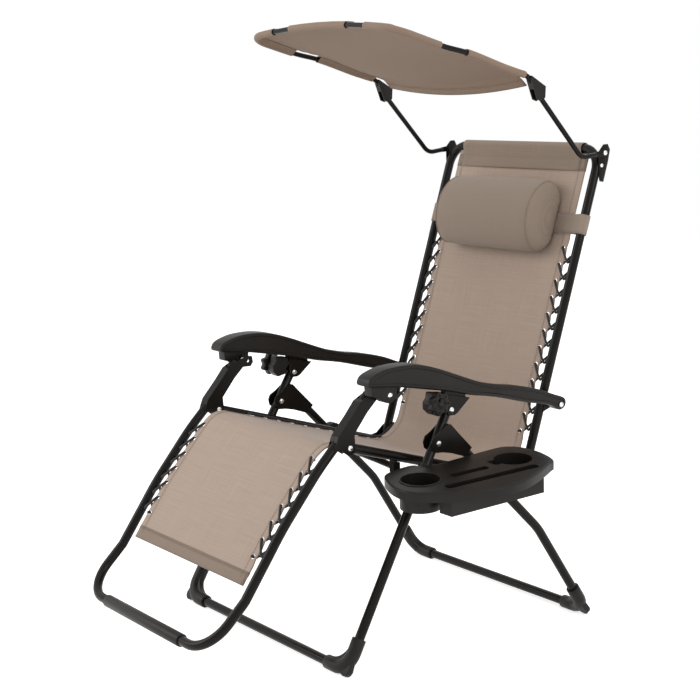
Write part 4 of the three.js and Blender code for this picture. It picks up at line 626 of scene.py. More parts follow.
rivet_bodies = {
    "leg_hinge_rivet": "front_legs", "slide_rivet": "front_legs", "rail_front_rivet": "leg_rest",
    "arm_front_rivet": "leg_rest", "rail_rear_rivet": "back", "arm_rear_rivet": "back"}
for kind, body in rivet_bodies.items():
    for side, sign in SIDES:
        rivet_piece(f"{kind}_{side}", body)
print("rivets:", 2 * len(rivet_bodies))

# %% [markdown]
# The armrest is one long moulding: a broad crown that falls away to the rear, a skirt along each side
# and a lug at the front for the rivet. Its side view is drawn as a soft curve, extruded across, drawn
# in towards the rear, and then every edge is bevelled. The side faces are inset to leave the flange.

# %% Armrests
ARM_FRONT_Y, ARM_FRONT_Z, ARM_REAR_Y, ARM_REAR_Z = -244, 612, 270, 533
ARMREST_LENGTH = 632
ARM_FRONT_X, ARM_REAR_X = (282, 332), (289.2, 321)
armrest_shares = (
    (-0.103, 0.041), (-0.075, 0.036), (0.021, 0.027), (0.073, 0.019), (0.147, 0.006), (0.259, -0.014),
    (0.358, -0.038), (0.481, -0.059), (0.636, -0.097), (0.752, -0.12), (0.791, -0.138), (0.813, -0.146),
    (0.835, -0.136), (0.84, -0.114), (0.826, -0.098), (0.778, -0.082), (0.709, -0.057), (0.641, -0.041),
    (0.574, -0.028), (0.509, -0.019), (0.415, 0.002), (0.323, 0.033), (0.228, 0.067), (0.149, 0.09),
    (0.07, 0.101), (-0.006, 0.098), (-0.049, 0.089), (-0.084, 0.076), (-0.1, 0.062))
LUG_SIZE, LUG_X = 54, (290.5, 319.7)
lug_shares = (
    (-0.95, 0.611), (-0.9, 0.02), (-0.5, -0.1), (-0.2, -0.3), (0.02, -0.36), (0.2, -0.28), (0.36, -0.06),
    (0.39, 0.611))


def outline(shares, y, z, length, height=None):
    return [Vector((0, y + a * length, z + b * (height or length))) for a, b in shares]


def closed_smooth(points, per_span):
    return spline([points[-1], *points, points[0], points[1]], per_span)


def drawn_out(bm, places, way):
    """A face on the given places, in metres, extruded by way; returns the two end faces."""
    face = bm.faces.new([bm.verts.new(place) for place in places])
    grown = bmesh.ops.extrude_face_region(bm, geom=[face])["geom"]
    fresh = [item for item in grown if isinstance(item, bmesh.types.BMVert)]
    bmesh.ops.translate(bm, verts=fresh, vec=way)
    return [face, next(item for item in grown if isinstance(item, bmesh.types.BMFace))]


def extruded(bm, points, low_x, high_x):
    """A closed outline in side view, extruded across the chair; returns the two ends."""
    return drawn_out(bm, [at(low_x, p.y, p.z) for p in points], ((high_x - low_x) * MM, 0, 0))


def bevel_rims(bm, faces, width, segments=4):
    rims = list({edge for face in faces for edge in face.edges})
    bmesh.ops.bevel(bm, geom=rims, offset=width * MM, segments=segments, profile=0.5,
                    affect="EDGES", material=-1, clamp_overlap=True)


def armrest_piece(side, sign):
    bm = bmesh.new()
    side_view = outline(armrest_shares, ARM_FRONT_Y, ARM_FRONT_Z, ARMREST_LENGTH)
    extruded(bm, closed_smooth(side_view, 3), *ARM_FRONT_X)
    for vert in bm.verts:
        y = (vert.co.y - ORIGIN.y) / MM
        share = min(1, max(0, (y - ARM_FRONT_Y) / (ARM_REAR_Y - 13 - ARM_FRONT_Y)))
        share = share * share * (3 - 2 * share)
        across = (vert.co.x - ORIGIN.x) / MM
        outer = (across - ARM_FRONT_X[0]) / (ARM_FRONT_X[1] - ARM_FRONT_X[0])
        low = ARM_FRONT_X[0] + (ARM_REAR_X[0] - ARM_FRONT_X[0]) * share
        high = ARM_FRONT_X[1] + (ARM_REAR_X[1] - ARM_FRONT_X[1]) * share
        vert.co.x = at(low + (high - low) * outer, 0, 0).x
    bmesh.ops.recalc_face_normals(bm, faces=bm.faces)
    outer_ends = [face for face in bm.faces if abs(face.normal.x) > 0.9]
    bmesh.ops.inset_individual(bm, faces=outer_ends, thickness=7.5 * MM, depth=0)
    bmesh.ops.inset_individual(bm, faces=outer_ends, thickness=1.2 * MM, depth=-1.6 * MM)
    rims = [edge for edge in bm.edges if edge.is_manifold and edge.calc_face_angle(0) > math.radians(60)
            and all(abs(face.normal.x) > 0.9 or abs(face.normal.x) < 0.35 for face in edge.link_faces)
            and any(abs(face.normal.x) < 0.35 for face in edge.link_faces)]
    bmesh.ops.bevel(bm, geom=rims, offset=5 * MM, segments=5, profile=0.5, affect="EDGES", material=-1)
    lug_ends = extruded(bm, outline(lug_shares, ARM_FRONT_Y, ARM_FRONT_Z, LUG_SIZE), *LUG_X)
    bevel_rims(bm, lug_ends, 1.5, 3)
    mirror_if(bm, sign)
    return finished(f"armrest_moulding_{side}", bm, moulded, 32, f"armrest_{side}_body", f"armrest_{side}",
                    slot="moulded_plastic")


for side, sign in SIDES:
    print("armrest faces:", len(armrest_piece(side, sign).data.polygons))

# %% [markdown]
# Each foot is a moulded corner: a collar slides over each tube and a web joins them, hollowed on the
# inside. The collar is swept along the bend, and the web is an outline with a round outer corner and
# a concave inner edge, thickened and softened. The sole is cut flat where it meets the floor.

# %% Feet
COLLAR_RADIUS, COLLAR_LENGTH, WEB_HALF, WEB_REACH, WEB_OUTER = 16, 74, 7, 62, 2


def foot_mesh(corner, leg_point):
    up_leg = (leg_point - corner).normalized()
    inward = Vector((-1, 0, 0))
    across = inward.cross(up_leg).normalized()
    upright = across.cross(inward).normalized()
    bm = bmesh.new()
    route = rounded([corner + up_leg * COLLAR_LENGTH, corner, corner + inward * COLLAR_LENGTH], (FOOT_BEND,))
    sweep(bm, [route[0], route[0].lerp(route[1], 0.5), *route[1:]], COLLAR_RADIUS, 32, cap_bevel=1.4)
    web = []
    web += [(WEB_OUTER + a, WEB_OUTER + b) for a, b in arc_points(COLLAR_RADIUS, -90, -180, 6)]
    web.append((0, WEB_REACH))
    web += [(WEB_REACH + a, WEB_REACH + b) for a, b in arc_points(WEB_REACH - COLLAR_RADIUS, 180, 270, 8)]
    web.append((WEB_REACH, 0))
    places = [at(*(corner + inward * along + upright * up - across * WEB_HALF)) for along, up in web]
    bevel_rims(bm, drawn_out(bm, places, across * (2 * WEB_HALF * MM)), 2.2, 3)
    bmesh.ops.bisect_plane(bm, geom=[*bm.verts, *bm.edges, *bm.faces], plane_co=(0, 0, 0.0002),
                           plane_no=(0, 0, -1), clear_outer=True, dist=1e-7)
    bmesh.ops.holes_fill(bm, edges=[edge for edge in bm.edges if edge.is_boundary], sides=0)
    return bm


for side, sign in SIDES:
    for kind, corner, leg_point, body in (("front", POST_FOOT, POST_TOP, "front_legs"),
                                          ("rear", REAR_FOOT, REAR_KINK, "rear_legs")):
        bm = foot_mesh(corner, leg_point)
        mirror_if(bm, sign)
        finished(f"{kind}_shoe_{side}", bm, moulded, 40, body, f"{kind}_foot_{side}", slot="moulded_plastic")

# %% [markdown]
# The back tube carries a small welded tab on each side, where the rear of the armrest is riveted. The
# tab is a plate with rounded edges. The foot bar has a moulded sleeve on it, and round spacers sit
# between the seat rails and the rear legs.

# %% Back tube, foot sleeve and spacers
PLATE = 2.5
ARM_TAB_HALF_HEIGHT, ARM_TAB_REACH = 13, 10
SLEEVE_RADIUS, SLEEVE_HALF = 14.5, 170
SPACER_RADIUS, SPACER_X = 22, (286.3, 309.9)
SEAT_PIVOT_Y = 37

bm = bmesh.new()
sweep(bm, back_route, TUBE_RADIUS)
tab_z = ARM_REAR_Z - (ARM_REAR_Y - back_y(ARM_REAR_Z)) * BACK_LEAN
round_end = [Vector((0, ARM_REAR_Y + a, ARM_REAR_Z + b)) for a, b in arc_points(ARM_TAB_REACH, -90, 90, 12)]
tab_points = [Vector((0, back_y(tab_z - ARM_TAB_HALF_HEIGHT), tab_z - ARM_TAB_HALF_HEIGHT)), *round_end,
              Vector((0, back_y(tab_z + ARM_TAB_HALF_HEIGHT), tab_z + ARM_TAB_HALF_HEIGHT))]
for side, sign in SIDES:
    edge = RAIL_X + TUBE_RADIUS
    low, high = (edge - PLATE, edge + PLATE) if sign > 0 else (-edge - PLATE, -edge + PLATE)
    bevel_rims(bm, extruded(bm, tab_points, low, high), 0.7, 2)
outward(bm)
back_tube = finished("back_tube", bm, powder_coat, 40, "back", "back_frame", slot="painted_tube")

foot_bar = leg_side[-1]
tube_piece("foot_bar_sleeve", [[Vector((SLEEVE_HALF, foot_bar.y, foot_bar.z)),
                                Vector((0, foot_bar.y, foot_bar.z)),
                                Vector((-SLEEVE_HALF, foot_bar.y, foot_bar.z))]],
           SLEEVE_RADIUS, moulded, "leg_rest", ["footrest_sleeve"], slot="moulded_plastic")
seat_pivot = knee.lerp(hip, (SEAT_PIVOT_Y - KNEE_Y) / (HIP_Y - KNEE_Y))
for side, sign in SIDES:
    ends = [Vector((sign * x, seat_pivot.y, seat_pivot.z)) for x in SPACER_X]
    route = [ends[0], ends[0].lerp(ends[1], 0.5), ends[1]]
    tube_piece(f"pivot_spacer_{side}", [route], SPACER_RADIUS, moulded, "rear_legs",
               [f"seat_pivot_spacer_{side}"], slot="moulded_plastic")
print("back tube faces:", len(back_tube.data.polygons))

# %% [markdown]
# Each recline lock ends in a moulded cover and a star knob. The knob is a circle pressed into seven
# lobes, with a rounded rim, a sunk face and a small boss, and it turns on its own screw.

# %% Lock covers and star knobs
KNOB_Y, KNOB_Z, KNOB_X = -125, 583, (334, 351)
KNOB_RADIUS, KNOB_LOBE, KNOB_LOBES, HUB_RADIUS, BOSS_RADIUS = 25, 3, 7, 9, 6.5
HUB_X, BOSS_X = (330.3, 333, 335.5), (347, 349, 351)
LOBE_STEPS = 16


def knob_piece(side, sign):
    bm = bmesh.new()
    rim = []
    for step in range(KNOB_LOBES * LOBE_STEPS):
        angle = math.tau * step / (KNOB_LOBES * LOBE_STEPS)
        radius = KNOB_RADIUS + KNOB_LOBE * math.cos(KNOB_LOBES * angle)
        rim.append(Vector((0, KNOB_Y + radius * math.cos(angle), KNOB_Z + radius * math.sin(angle))))
    bevel_rims(bm, extruded(bm, rim, *KNOB_X), 3.4, 5)
    broad_faces = [face for face in bm.faces if len(face.verts) > 20]
    outer = max(broad_faces, key=lambda face: face.calc_center_median().x)
    bmesh.ops.inset_individual(bm, faces=[outer], thickness=5.5 * MM, depth=0)
    bmesh.ops.inset_individual(bm, faces=[outer], thickness=2 * MM, depth=-1.8 * MM)
    sweep(bm, [Vector((x, KNOB_Y, KNOB_Z)) for x in HUB_X], HUB_RADIUS, 32)
    sweep(bm, [Vector((x, KNOB_Y, KNOB_Z)) for x in BOSS_X], BOSS_RADIUS, 32, cap_bevel=1.4)
    mirror_if(bm, sign)
    return finished(f"star_knob_{side}", bm, moulded, 34, f"knob_{side}_body", f"clamp_knob_{side}",
                    slot="moulded_plastic")


for side, sign in SIDES:
    refined(f"lock_cover_{side}", f"lock_housing_{side}", moulded, f"lock_{side}_body", 2.4, 4,
            slot="moulded_plastic")
    print("knob faces:", len(knob_piece(side, sign).data.polygons))

# %% [markdown]
# At the top of the back a plate on each side carries the pivot pin of the canopy arm. The arm is a
# rod that is flattened round the pin, bends once and runs up to the clevis at the canopy's rear.

# %% Top plates and canopy rods
CANOPY_X, ROD_RADIUS = 290, 6
CANOPY_PIVOT_Y, CANOPY_PIVOT_Z = 426, 1126
CANOPY_HEAD_Y, CANOPY_HEAD_Z = 208, 1262
ARM_BEND_Y, ARM_BEND_Z, ARM_BEND_RADIUS, ARM_TAB_Y = 350, 1115, 35, 396
PIN_PAST, ARM_TAB_X, ARM_LOBE = 4.8, (288.8, 292.4), 7.5
TOP_PLATE_X, PIN_RADIUS = (286.3, 288.5), 3
top_plate_shares = (
    (-0.25, -0.756), (0, -0.778), (0.292, -0.244), (0.417, 0.089), (0.25, 0.233), (-0.042, 0.222),
    (-0.34, 0.05), (-0.34, -0.1), (-0.3, -0.644))
TOP_PLATE_SIZE = (48, 90)


def dome(bm, place, radius, height, steps=24):
    """A low rivet dome on a side face; place is the middle of its flat side, in millimetres."""
    profile = [(0.0, height * MM)]
    for share, rise in rivet_profile[1:-1]:
        profile.append((share * radius * MM, rise * height * MM))
    profile.append((radius * 0.96 * MM, -0.3 * MM))
    spun(bm, profile, at(*place), (1, 0, 0), steps)


for side, sign in SIDES:
    bm = bmesh.new()
    plate = outline(top_plate_shares, CANOPY_PIVOT_Y, CANOPY_PIVOT_Z, *TOP_PLATE_SIZE)
    bevel_rims(bm, extruded(bm, plate, *TOP_PLATE_X), 0.6, 2)
    sweep(bm, [Vector((x, CANOPY_PIVOT_Y, CANOPY_PIVOT_Z)) for x in (287, 290, 294)], PIN_RADIUS, 20)
    mirror_if(bm, sign)
    finished(f"top_plate_{side}", bm, powder_coat, 38, "back", f"back_top_bracket_{side}", slot="painted_tube")
    bm = bmesh.new()
    dome(bm, (292.7, CANOPY_PIVOT_Y, CANOPY_PIVOT_Z), 6, 2.4)
    dome(bm, (288.5, CANOPY_PIVOT_Y - 7, CANOPY_PIVOT_Z - 30), 5, 2.2)
    mirror_if(bm, sign)
    finished(f"top_plate_rivets_{side}", bm, zinc, 50, "back", slot="zinc_rivet")

    rod_start = Vector((CANOPY_X, ARM_TAB_Y, ARM_BEND_Z + (ARM_TAB_Y - ARM_BEND_Y)
                        / (CANOPY_PIVOT_Y - ARM_BEND_Y) * (CANOPY_PIVOT_Z - ARM_BEND_Z)))
    rod_bend = Vector((CANOPY_X, ARM_BEND_Y, ARM_BEND_Z))
    rod_end = Vector((CANOPY_X, CANOPY_HEAD_Y, CANOPY_HEAD_Z))
    rod_way = (rod_end - rod_bend).normalized()
    tab_way = (rod_start - rod_bend).normalized()
    bm = bmesh.new()
    sweep(bm, rounded([rod_start + tab_way * 2, rod_bend, rod_end + rod_way * PIN_PAST], (ARM_BEND_RADIUS,)),
          ROD_RADIUS, 24, cap_bevel=1.8)
    lobe = [Vector((0, CANOPY_PIVOT_Y + a, CANOPY_PIVOT_Z + b))
            for a, b in arc_points(ARM_LOBE, -90, 90, 12)]
    neck = rod_start - tab_way * 10
    tab_outline = [Vector((0, neck.y, neck.z - 4.5)), Vector((0, rod_start.y, rod_start.z - 6.5)), *lobe,
                   Vector((0, rod_start.y, rod_start.z + 6.5)), Vector((0, neck.y, neck.z + 4.5))]
    bevel_rims(bm, extruded(bm, tab_outline, *ARM_TAB_X), 1.0, 3)
    mirror_if(bm, sign)
    finished(f"canopy_rod_{side}", bm, powder_coat, 40, "canopy_arms", f"canopy_arm_{side}",
             slot="painted_tube")
print("canopy rods end at", tuple(round(v) for v in rod_end))

# %% [markdown]
# The canopy frame is one bent rod. Seen from the side it rises in a soft curve from the clevis to the
# front bar, and the front bar is slightly crowned, so the cloth sheds water.

# %% Canopy frame
CANOPY_LENGTH, CANOPY_RISE, CANOPY_CORNER, CANOPY_CROWN, HEAD_GAP = 418, 139, 50, 18, 13
head_shares = (
    (1, 0), (0.914, 0.209), (0.84, 0.273), (0.727, 0.36), (0.502, 0.554), (0.323, 0.655), (0.144, 0.791),
    (0, 0.906))
head_front_y = CANOPY_HEAD_Y - CANOPY_LENGTH
head_rear_z = CANOPY_HEAD_Z + HEAD_GAP
head_side = [Vector((CANOPY_X, head_front_y + a * CANOPY_LENGTH, head_rear_z + b * CANOPY_RISE))
             for a, b in head_shares]
head_front_z = head_side[-1].z
head_curve = smooth_line(head_side, 5)
bar_shares = (0.76, 0.6, 0.4, 0.2, 0, -0.2, -0.4, -0.6, -0.76)
front_bar = [Vector((s * CANOPY_X, head_front_y, head_front_z + CANOPY_CROWN * (1 - s * s)))
             for s in bar_shares]
head_corners = [*[p for p in head_curve[:-1] if p.y > head_front_y + CANOPY_CORNER * 1.15], head_curve[-1]]
head_mirror = [Vector((-p.x, p.y, p.z)) for p in reversed(head_corners)]
head_radii = [0] * (len(head_corners) - 2) + [CANOPY_CORNER] + [0] * len(front_bar) + [CANOPY_CORNER]
head_radii += [0] * (len(head_mirror) - 2)
head_route = rounded([*head_corners, *front_bar, *head_mirror], head_radii)
tube_piece("canopy_bow", [head_route], ROD_RADIUS, powder_coat, "canopy_head", ["canopy_frame"], sides=24)


def head_z(y):
    """Height of the side rod above a place y."""
    if y >= head_curve[0].y:
        return head_curve[0].z
    for high, low in zip(head_curve, head_curve[1:]):
        if low.y <= y <= high.y:
            return low.z + (high.z - low.z) * (y - low.y) / (high.y - low.y)
    return head_curve[-1].z


print("canopy bow points:", len(head_route))

# %% [markdown]
# Cloth is made from flat grids. Each grid is first laid out flat, where it gets its own measure in
# metres for the weave, and then every point is moved to its place on the curve. A solidify modifier
# gives it thickness, and a row of small stitches is laid along each seam.

# %% Tools for cloth


def sheet_piece(name, look, across, along, columns, rows, place, thickness):
    bm = bmesh.new()
    bmesh.ops.create_grid(bm, x_segments=columns, y_segments=rows, size=1)
    layer = bm.loops.layers.uv.new("cloth")
    for face in bm.faces:
        for loop in face.loops:
            loop[layer].uv = (loop.vert.co.x * across / 2 * MM, (loop.vert.co.y + 1) / 2 * along * MM)
    for vert in bm.verts:
        vert.co = at(*place(vert.co.x, (vert.co.y + 1) / 2))
    piece = smooth(new_object(name, bm, look), 60)
    thicken(piece, thickness)
    return piece


def thicken(piece, thickness, offset=0.0):
    body = piece.modifiers.new("thickness", "SOLIDIFY")
    body.thickness = thickness * MM
    body.offset = offset
    body.use_even_offset = False
    return piece


def cloth_map(piece, place_of):
    layer = piece.data.uv_layers.new(name="cloth")
    points = piece.data.vertices
    for loop in piece.data.loops:
        layer.data[loop.index].uv = place_of(points[loop.vertex_index].co)
    return piece


def stitch_row(bm, route, pitch=5.2, length=3.2, radius=0.42):
    """Small dashes of thread along a line in millimetres."""
    travelled, due = 0.0, pitch / 2
    for start, end in zip(route, route[1:]):
        run = (end - start).length
        while run and travelled + run > due:
            share = (due - travelled) / run
            middle, way = start.lerp(end, share), (end - start).normalized()
            sweep(bm, [middle - way * length / 2, middle + way * length / 2], radius, 5, cap_bevel=0)
            due += pitch
        travelled += run


def stitches(name, routes, body):
    bm = bmesh.new()
    for route in routes:
        stitch_row(bm, route)
    piece = smooth(new_object(name, bm, thread), 60)
    if body:
        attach(piece, body)
    return piece


print("cloth tools ready")

# %% [markdown]
# The laced cloth follows one line in side view: down the back, round the hip, forward along the seat,
# over the knee and down the leg rest. A place on the cloth is given by its length along that line.

# %% The line of the laced cloth
SLING_HALF, SLING_THICK = 240, 2.4
HIP_CURVE, KNEE_CURVE, LEG_CURVE = 85, 60, 300
SLING_END_Y, SLING_END_Z = KNEE_Y - 251.4, KNEE_Z - 277
EYELET_X, EYELET_PITCH, BACK_EYELETS_Z, LEG_EYELETS_Z = 230, 41.5, 896, 473
BACK_EYELETS, SEAT_EYELETS, LEG_EYELETS = 12, 11, 7

rail_slope = (HIP_Z - KNEE_Z) / (HIP_Y - KNEE_Y)
hip_corner_z = (KNEE_Z + (back_y(0) - KNEE_Y) * rail_slope) / (1 - BACK_LEAN * rail_slope)
hip_corner = Vector((0, back_y(hip_corner_z), hip_corner_z))
leg_a, leg_b = leg_side[2], leg_side[3]
leg_slope = (leg_a.z - leg_b.z) / (leg_a.y - leg_b.y)
knee_corner_y = (KNEE_Z - KNEE_Y * rail_slope - leg_a.z + leg_a.y * leg_slope) / (leg_slope - rail_slope)
knee_corner = Vector((0, knee_corner_y, KNEE_Z + (knee_corner_y - KNEE_Y) * rail_slope))
leg_middle = [Vector((0, p.y, p.z)) for p in leg_side[3:7]]
cloth_top, cloth_low = Vector((0, BACK_TOP_Y, BACK_TOP_Z)), Vector((0, SLING_END_Y, SLING_END_Z))
cloth_path = rounded([cloth_top, hip_corner, knee_corner, *leg_middle, cloth_low],
                     (HIP_CURVE, KNEE_CURVE, *[LEG_CURVE] * len(leg_middle)))
cloth_lengths = distances(cloth_path)
CLOTH_END = cloth_lengths[-1]


def cloth_at(length):
    """Place, downward direction and front direction of the cloth at a length along its line."""
    index = 1
    while index < len(cloth_lengths) - 1 and cloth_lengths[index] < length:
        index += 1
    start, end = cloth_path[index - 1], cloth_path[index]
    share = (length - cloth_lengths[index - 1]) / (cloth_lengths[index] - cloth_lengths[index - 1])
    down = (end - start).normalized()
    return start.lerp(end, share), down, Vector((0, down.z, -down.y))


def length_near(y, z):
    steps = [step * 0.5 for step in range(int(CLOTH_END * 2))]
    target = Vector((0, y, z))
    return min(steps, key=lambda length: (cloth_at(length)[0] - target).length)


SKIPPED_SEAT, SKIPPED_BACK = 2, 8
leg_share = (leg_a.z - LEG_EYELETS_Z) / (leg_a.z - leg_b.z)
back_first = length_near(back_y(BACK_EYELETS_Z), BACK_EYELETS_Z)
leg_first = length_near(leg_a.y + (leg_b.y - leg_a.y) * leg_share, LEG_EYELETS_Z)
seat_first = length_near(seat_pivot.y, seat_pivot.z) - (SKIPPED_SEAT + 0.72) * EYELET_PITCH
eyelet_rows = {
    "back": [back_first + step * EYELET_PITCH for step in range(BACK_EYELETS)],
    "seat": [seat_first + step * EYELET_PITCH for step in range(SEAT_EYELETS)],
    "leg_rest": [leg_first + step * EYELET_PITCH for step in range(LEG_EYELETS)]}
all_eyelets = [length for row in eyelet_rows.values() for length in row]
print("cloth line:", round(CLOTH_END), "mm, eyelets from", [round(row[0]) for row in eyelet_rows.values()])

# %% [markdown]
# The cloth is one long piece in use. It is modelled as two that meet out of sight of any fold, in the
# middle of the seat. Between the laced points its edge is drawn in a little, and its middle gives way
# by a few millimetres.

# %% Laced cloth
HEM_WIDTH, PULL, RIPPLE, GIVE = 24, 1.4, 1.1, 3.0
EDGE_SHARE, GIVE_POWER, GIVE_TOP, GIVE_LOW = 0.86, 2.2, 160, 120
PULL_TOP, PULL_LOW = 30, 20
ROW_PITCH, PANEL_COLUMNS, HEM_EXTRA = 7, 40, 1.1
SEAT_MIDDLE = (eyelet_rows["seat"][4] + eyelet_rows["seat"][5]) / 2
BACK_EDGE, LEG_EDGE = 13.0, CLOTH_END


def laced(length):
    """1 beside a ring, 0 midway between two rings or far from any."""
    near = min(abs(length - eyelet) for eyelet in all_eyelets)
    return 0.5 + 0.5 * math.cos(math.pi * min(1, near / (EYELET_PITCH / 2)))


def give(length):
    """How far the middle of the cloth gives way, less at its two ends."""
    return GIVE * min(1, length / GIVE_TOP, (CLOTH_END - length) / GIVE_LOW)


def cloth_place(length, across, lift=0.0):
    place, _, front = cloth_at(length)
    side = abs(across) / SLING_HALF
    edge = max(0, (side - EDGE_SHARE) / (1 - EDGE_SHARE))
    is_laced = back_first - PULL_TOP < length < CLOTH_END - PULL_LOW
    pull = (laced(length) * PULL - PULL) * edge if is_laced else 0
    wave_lift = (laced(length) - 0.5) * RIPPLE * edge
    depth = -give(length) * (1 - side ** GIVE_POWER)
    where = place + front * (lift + depth + wave_lift)
    return Vector((across + math.copysign(pull, across), where.y, where.z))


def laced_sheet(name, look, x_low, x_high, length_from, length_to, columns, thickness):
    span, middle = (x_high - x_low) / 2, (x_high + x_low) / 2
    rows = max(2, round((length_to - length_from) / ROW_PITCH))

    def place(s, t):
        return cloth_place(length_from + (length_to - length_from) * t, middle + s * span)

    return sheet_piece(name, look, 2 * span, length_to - length_from, columns, rows, place, thickness)


def bend_hip(piece):
    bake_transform(piece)


def bend_knee(piece):
    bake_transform(piece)


inner = SLING_HALF - HEM_WIDTH
halves = (("rear", BACK_EDGE, SEAT_MIDDLE, bend_hip), ("front", SEAT_MIDDLE, LEG_EDGE, bend_knee))
sling_pieces = {}
for name, start, end, bend in halves:
    panel = laced_sheet(f"laced_cloth_{name}", sling_cloth, -SLING_HALF + 2, SLING_HALF - 2, start, end,
                        PANEL_COLUMNS, SLING_THICK)
    sling_pieces[name] = [panel]
    for side, sign in SIDES:
        low, high = sorted((sign * inner, sign * SLING_HALF))
        hem = laced_sheet(f"side_hem_{name}_{side}", sling_cloth, low, high, start, end,
                          5, SLING_THICK + HEM_EXTRA)
        soft_edges(hem, 0.9, 2)
        sling_pieces[name].append(hem)
    steps = [start + 3 + step * ROW_PITCH for step in range(int((end - start - 6) / ROW_PITCH))]
    rows = [[cloth_place(length, sign * x, SLING_THICK / 2 + 0.75) for length in steps]
            for sign in (1, -1) for x in (inner + 3, inner + 6)]
    sling_pieces[name].append(stitches(f"hem_stitches_{name}", rows, None))
    for piece in sling_pieces[name]:
        bend(piece)
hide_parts("back_sling", "seat_sling")
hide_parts("leg_rest_sling")
print("laced cloth points:", [len(pieces[0].data.vertices) for pieces in sling_pieces.values()])

# %% [markdown]
# At the top the cloth is sewn into a sleeve round the bar. The sleeve and the band below it are of
# double cloth, so they look darker and stand a little proud. The lower end has a doubled hem.

# %% Top sleeve and lower hem
BAND_LOW_Z, SLEEVE_OUT, SLEEVE_HALF_WIDTH, SLEEVE_LIFT = 1080, 13.6, 221, 2.1
band_low = length_near(back_y(BAND_LOW_Z), BAND_LOW_Z)


def loop_sheet(name, look, half_width, line, columns, thickness):
    """A cloth strip that follows a line in side view, across the chair."""
    def place(s, t):
        share = t * (len(line) - 1)
        index = min(len(line) - 2, int(share + 1e-6))
        spot = line[index].lerp(line[index + 1], min(1, share - index))
        return Vector((s * half_width, spot.y, spot.z))

    along = distances(line)[-1]
    return sheet_piece(name, look, 2 * half_width, along, columns, len(line) - 1, place, thickness)


front_steps = [cloth_at(band_low + (BACK_EDGE + 6 - band_low) * step / 8) for step in range(9)]
front_line = [place + front * SLEEVE_LIFT for place, _, front in front_steps]
_, top_down, top_front = cloth_at(0.5)
bar_centre = Vector((0, BACK_TOP_Y, BACK_TOP_Z))
around_bar = [bar_centre + top_front * a - top_down * b for a, b in arc_points(SLEEVE_OUT, -10, 190, 14)]
rear_line = [place - front * SLEEVE_LIFT for place, _, front in reversed(front_steps)]
sleeve_line = [*front_line[:-2], *around_bar, *rear_line[2:]]
sleeve = loop_sheet("top_sleeve", hem_cloth, SLEEVE_HALF_WIDTH, sleeve_line, 36, 1.3)
band = laced_sheet("top_band", hem_cloth, -SLING_HALF, SLING_HALF, BACK_EDGE + 12, band_low,
                   PANEL_COLUMNS, SLING_THICK + 2.0)
lower = laced_sheet("lower_hem", hem_cloth, -SLING_HALF, SLING_HALF, CLOTH_END - 32, CLOTH_END,
                    PANEL_COLUMNS, SLING_THICK + 1.6)
for piece in (sleeve, band):
    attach(piece, "back")
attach(lower, "leg_rest")
across = [x * 6 for x in range(-39, 40)]
seam_rows = [[cloth_place(band_low - back, x, 2.7) for x in across] for back in (4, 7.5)]
stitches("band_stitches", seam_rows, "back")
low_rows = [[cloth_place(CLOTH_END - back, x, 2.5) for x in across] for back in (29, 25.5)]
stitches("lower_stitches", low_rows, "leg_rest")
print("top sleeve line:", len(sleeve_line), "points")

# %% [markdown]
# Each laced point is a zinc ring pressed into the hem. One ring profile is spun for every ring, and
# the rings are turned to lie on the cloth.

# %% Rings
ring_profile = ((3.1, -2.0), (3.1, 2.0), (3.5, 2.75), (4.5, 3.0), (5.7, 2.55), (6.1, 1.4),
                (6.1, -1.4), (5.7, -2.55), (4.5, -3.0), (3.5, -2.75), (3.1, -2.0))
for body, row in eyelet_rows.items():
    bm = bmesh.new()
    for sign in (1, -1):
        for length in row:
            where = cloth_place(length, sign * EYELET_X)
            front = cloth_at(length)[2]
            spun(bm, [(r * MM, h * MM) for r, h in ring_profile], at(*where), front, 20)
    outward(bm)
    finished(f"rings_{body}", bm, zinc, 50, body, slot="zinc_rivet")
print("rings:", 2 * len(all_eyelets))

# %% [markdown]
# The lacing is an elastic cord. It comes up through a ring, crosses to the tube, turns back at the
# inner side of the tube and returns under the cloth to the next ring. Where a bracket is in the way it
# turns back sooner, and a knot stops each end.

# %% Lacing
CORD_RADIUS, CORD_LIFT = 2.9, 5.0
TURN_X = RAIL_X - TUBE_RADIUS - 0.3 - CORD_RADIUS
turn_shares = ((0.8, 0.93, 1.9), (0.74, 0.43, 0), (0.5, -0.43, 0), (0.44, -0.93, 1.9))
SHORT_SHARES, SHORT_TURN_X = (0.52, 0.92), SLING_HALF + 5.3
KNOT_RADIUS, KNOT_SHAPE = 4.6, (1.0, 1.15, 0.8)


def lacing_points(row, skipped):
    points = []
    for index, eyelet in enumerate(row):
        place, _, front = cloth_at(eyelet)
        for lift in (-CORD_LIFT, CORD_LIFT):
            points.append(place + front * lift + Vector((EYELET_X, 0, 0)))
        if index == len(row) - 1:
            break
        if index == skipped:
            for share, lift in ((SHORT_SHARES[0], CORD_LIFT), (SHORT_SHARES[1], -CORD_LIFT)):
                place, _, front = cloth_at(eyelet + share * EYELET_PITCH)
                points.append(place + front * lift + Vector((SHORT_TURN_X, 0, 0)))
            continue
        for share, lift, draw in turn_shares:
            place, _, front = cloth_at(eyelet + share * EYELET_PITCH)
            points.append(place + front * CORD_LIFT * lift + Vector((TURN_X - draw * CORD_RADIUS, 0, 0)))
    return points


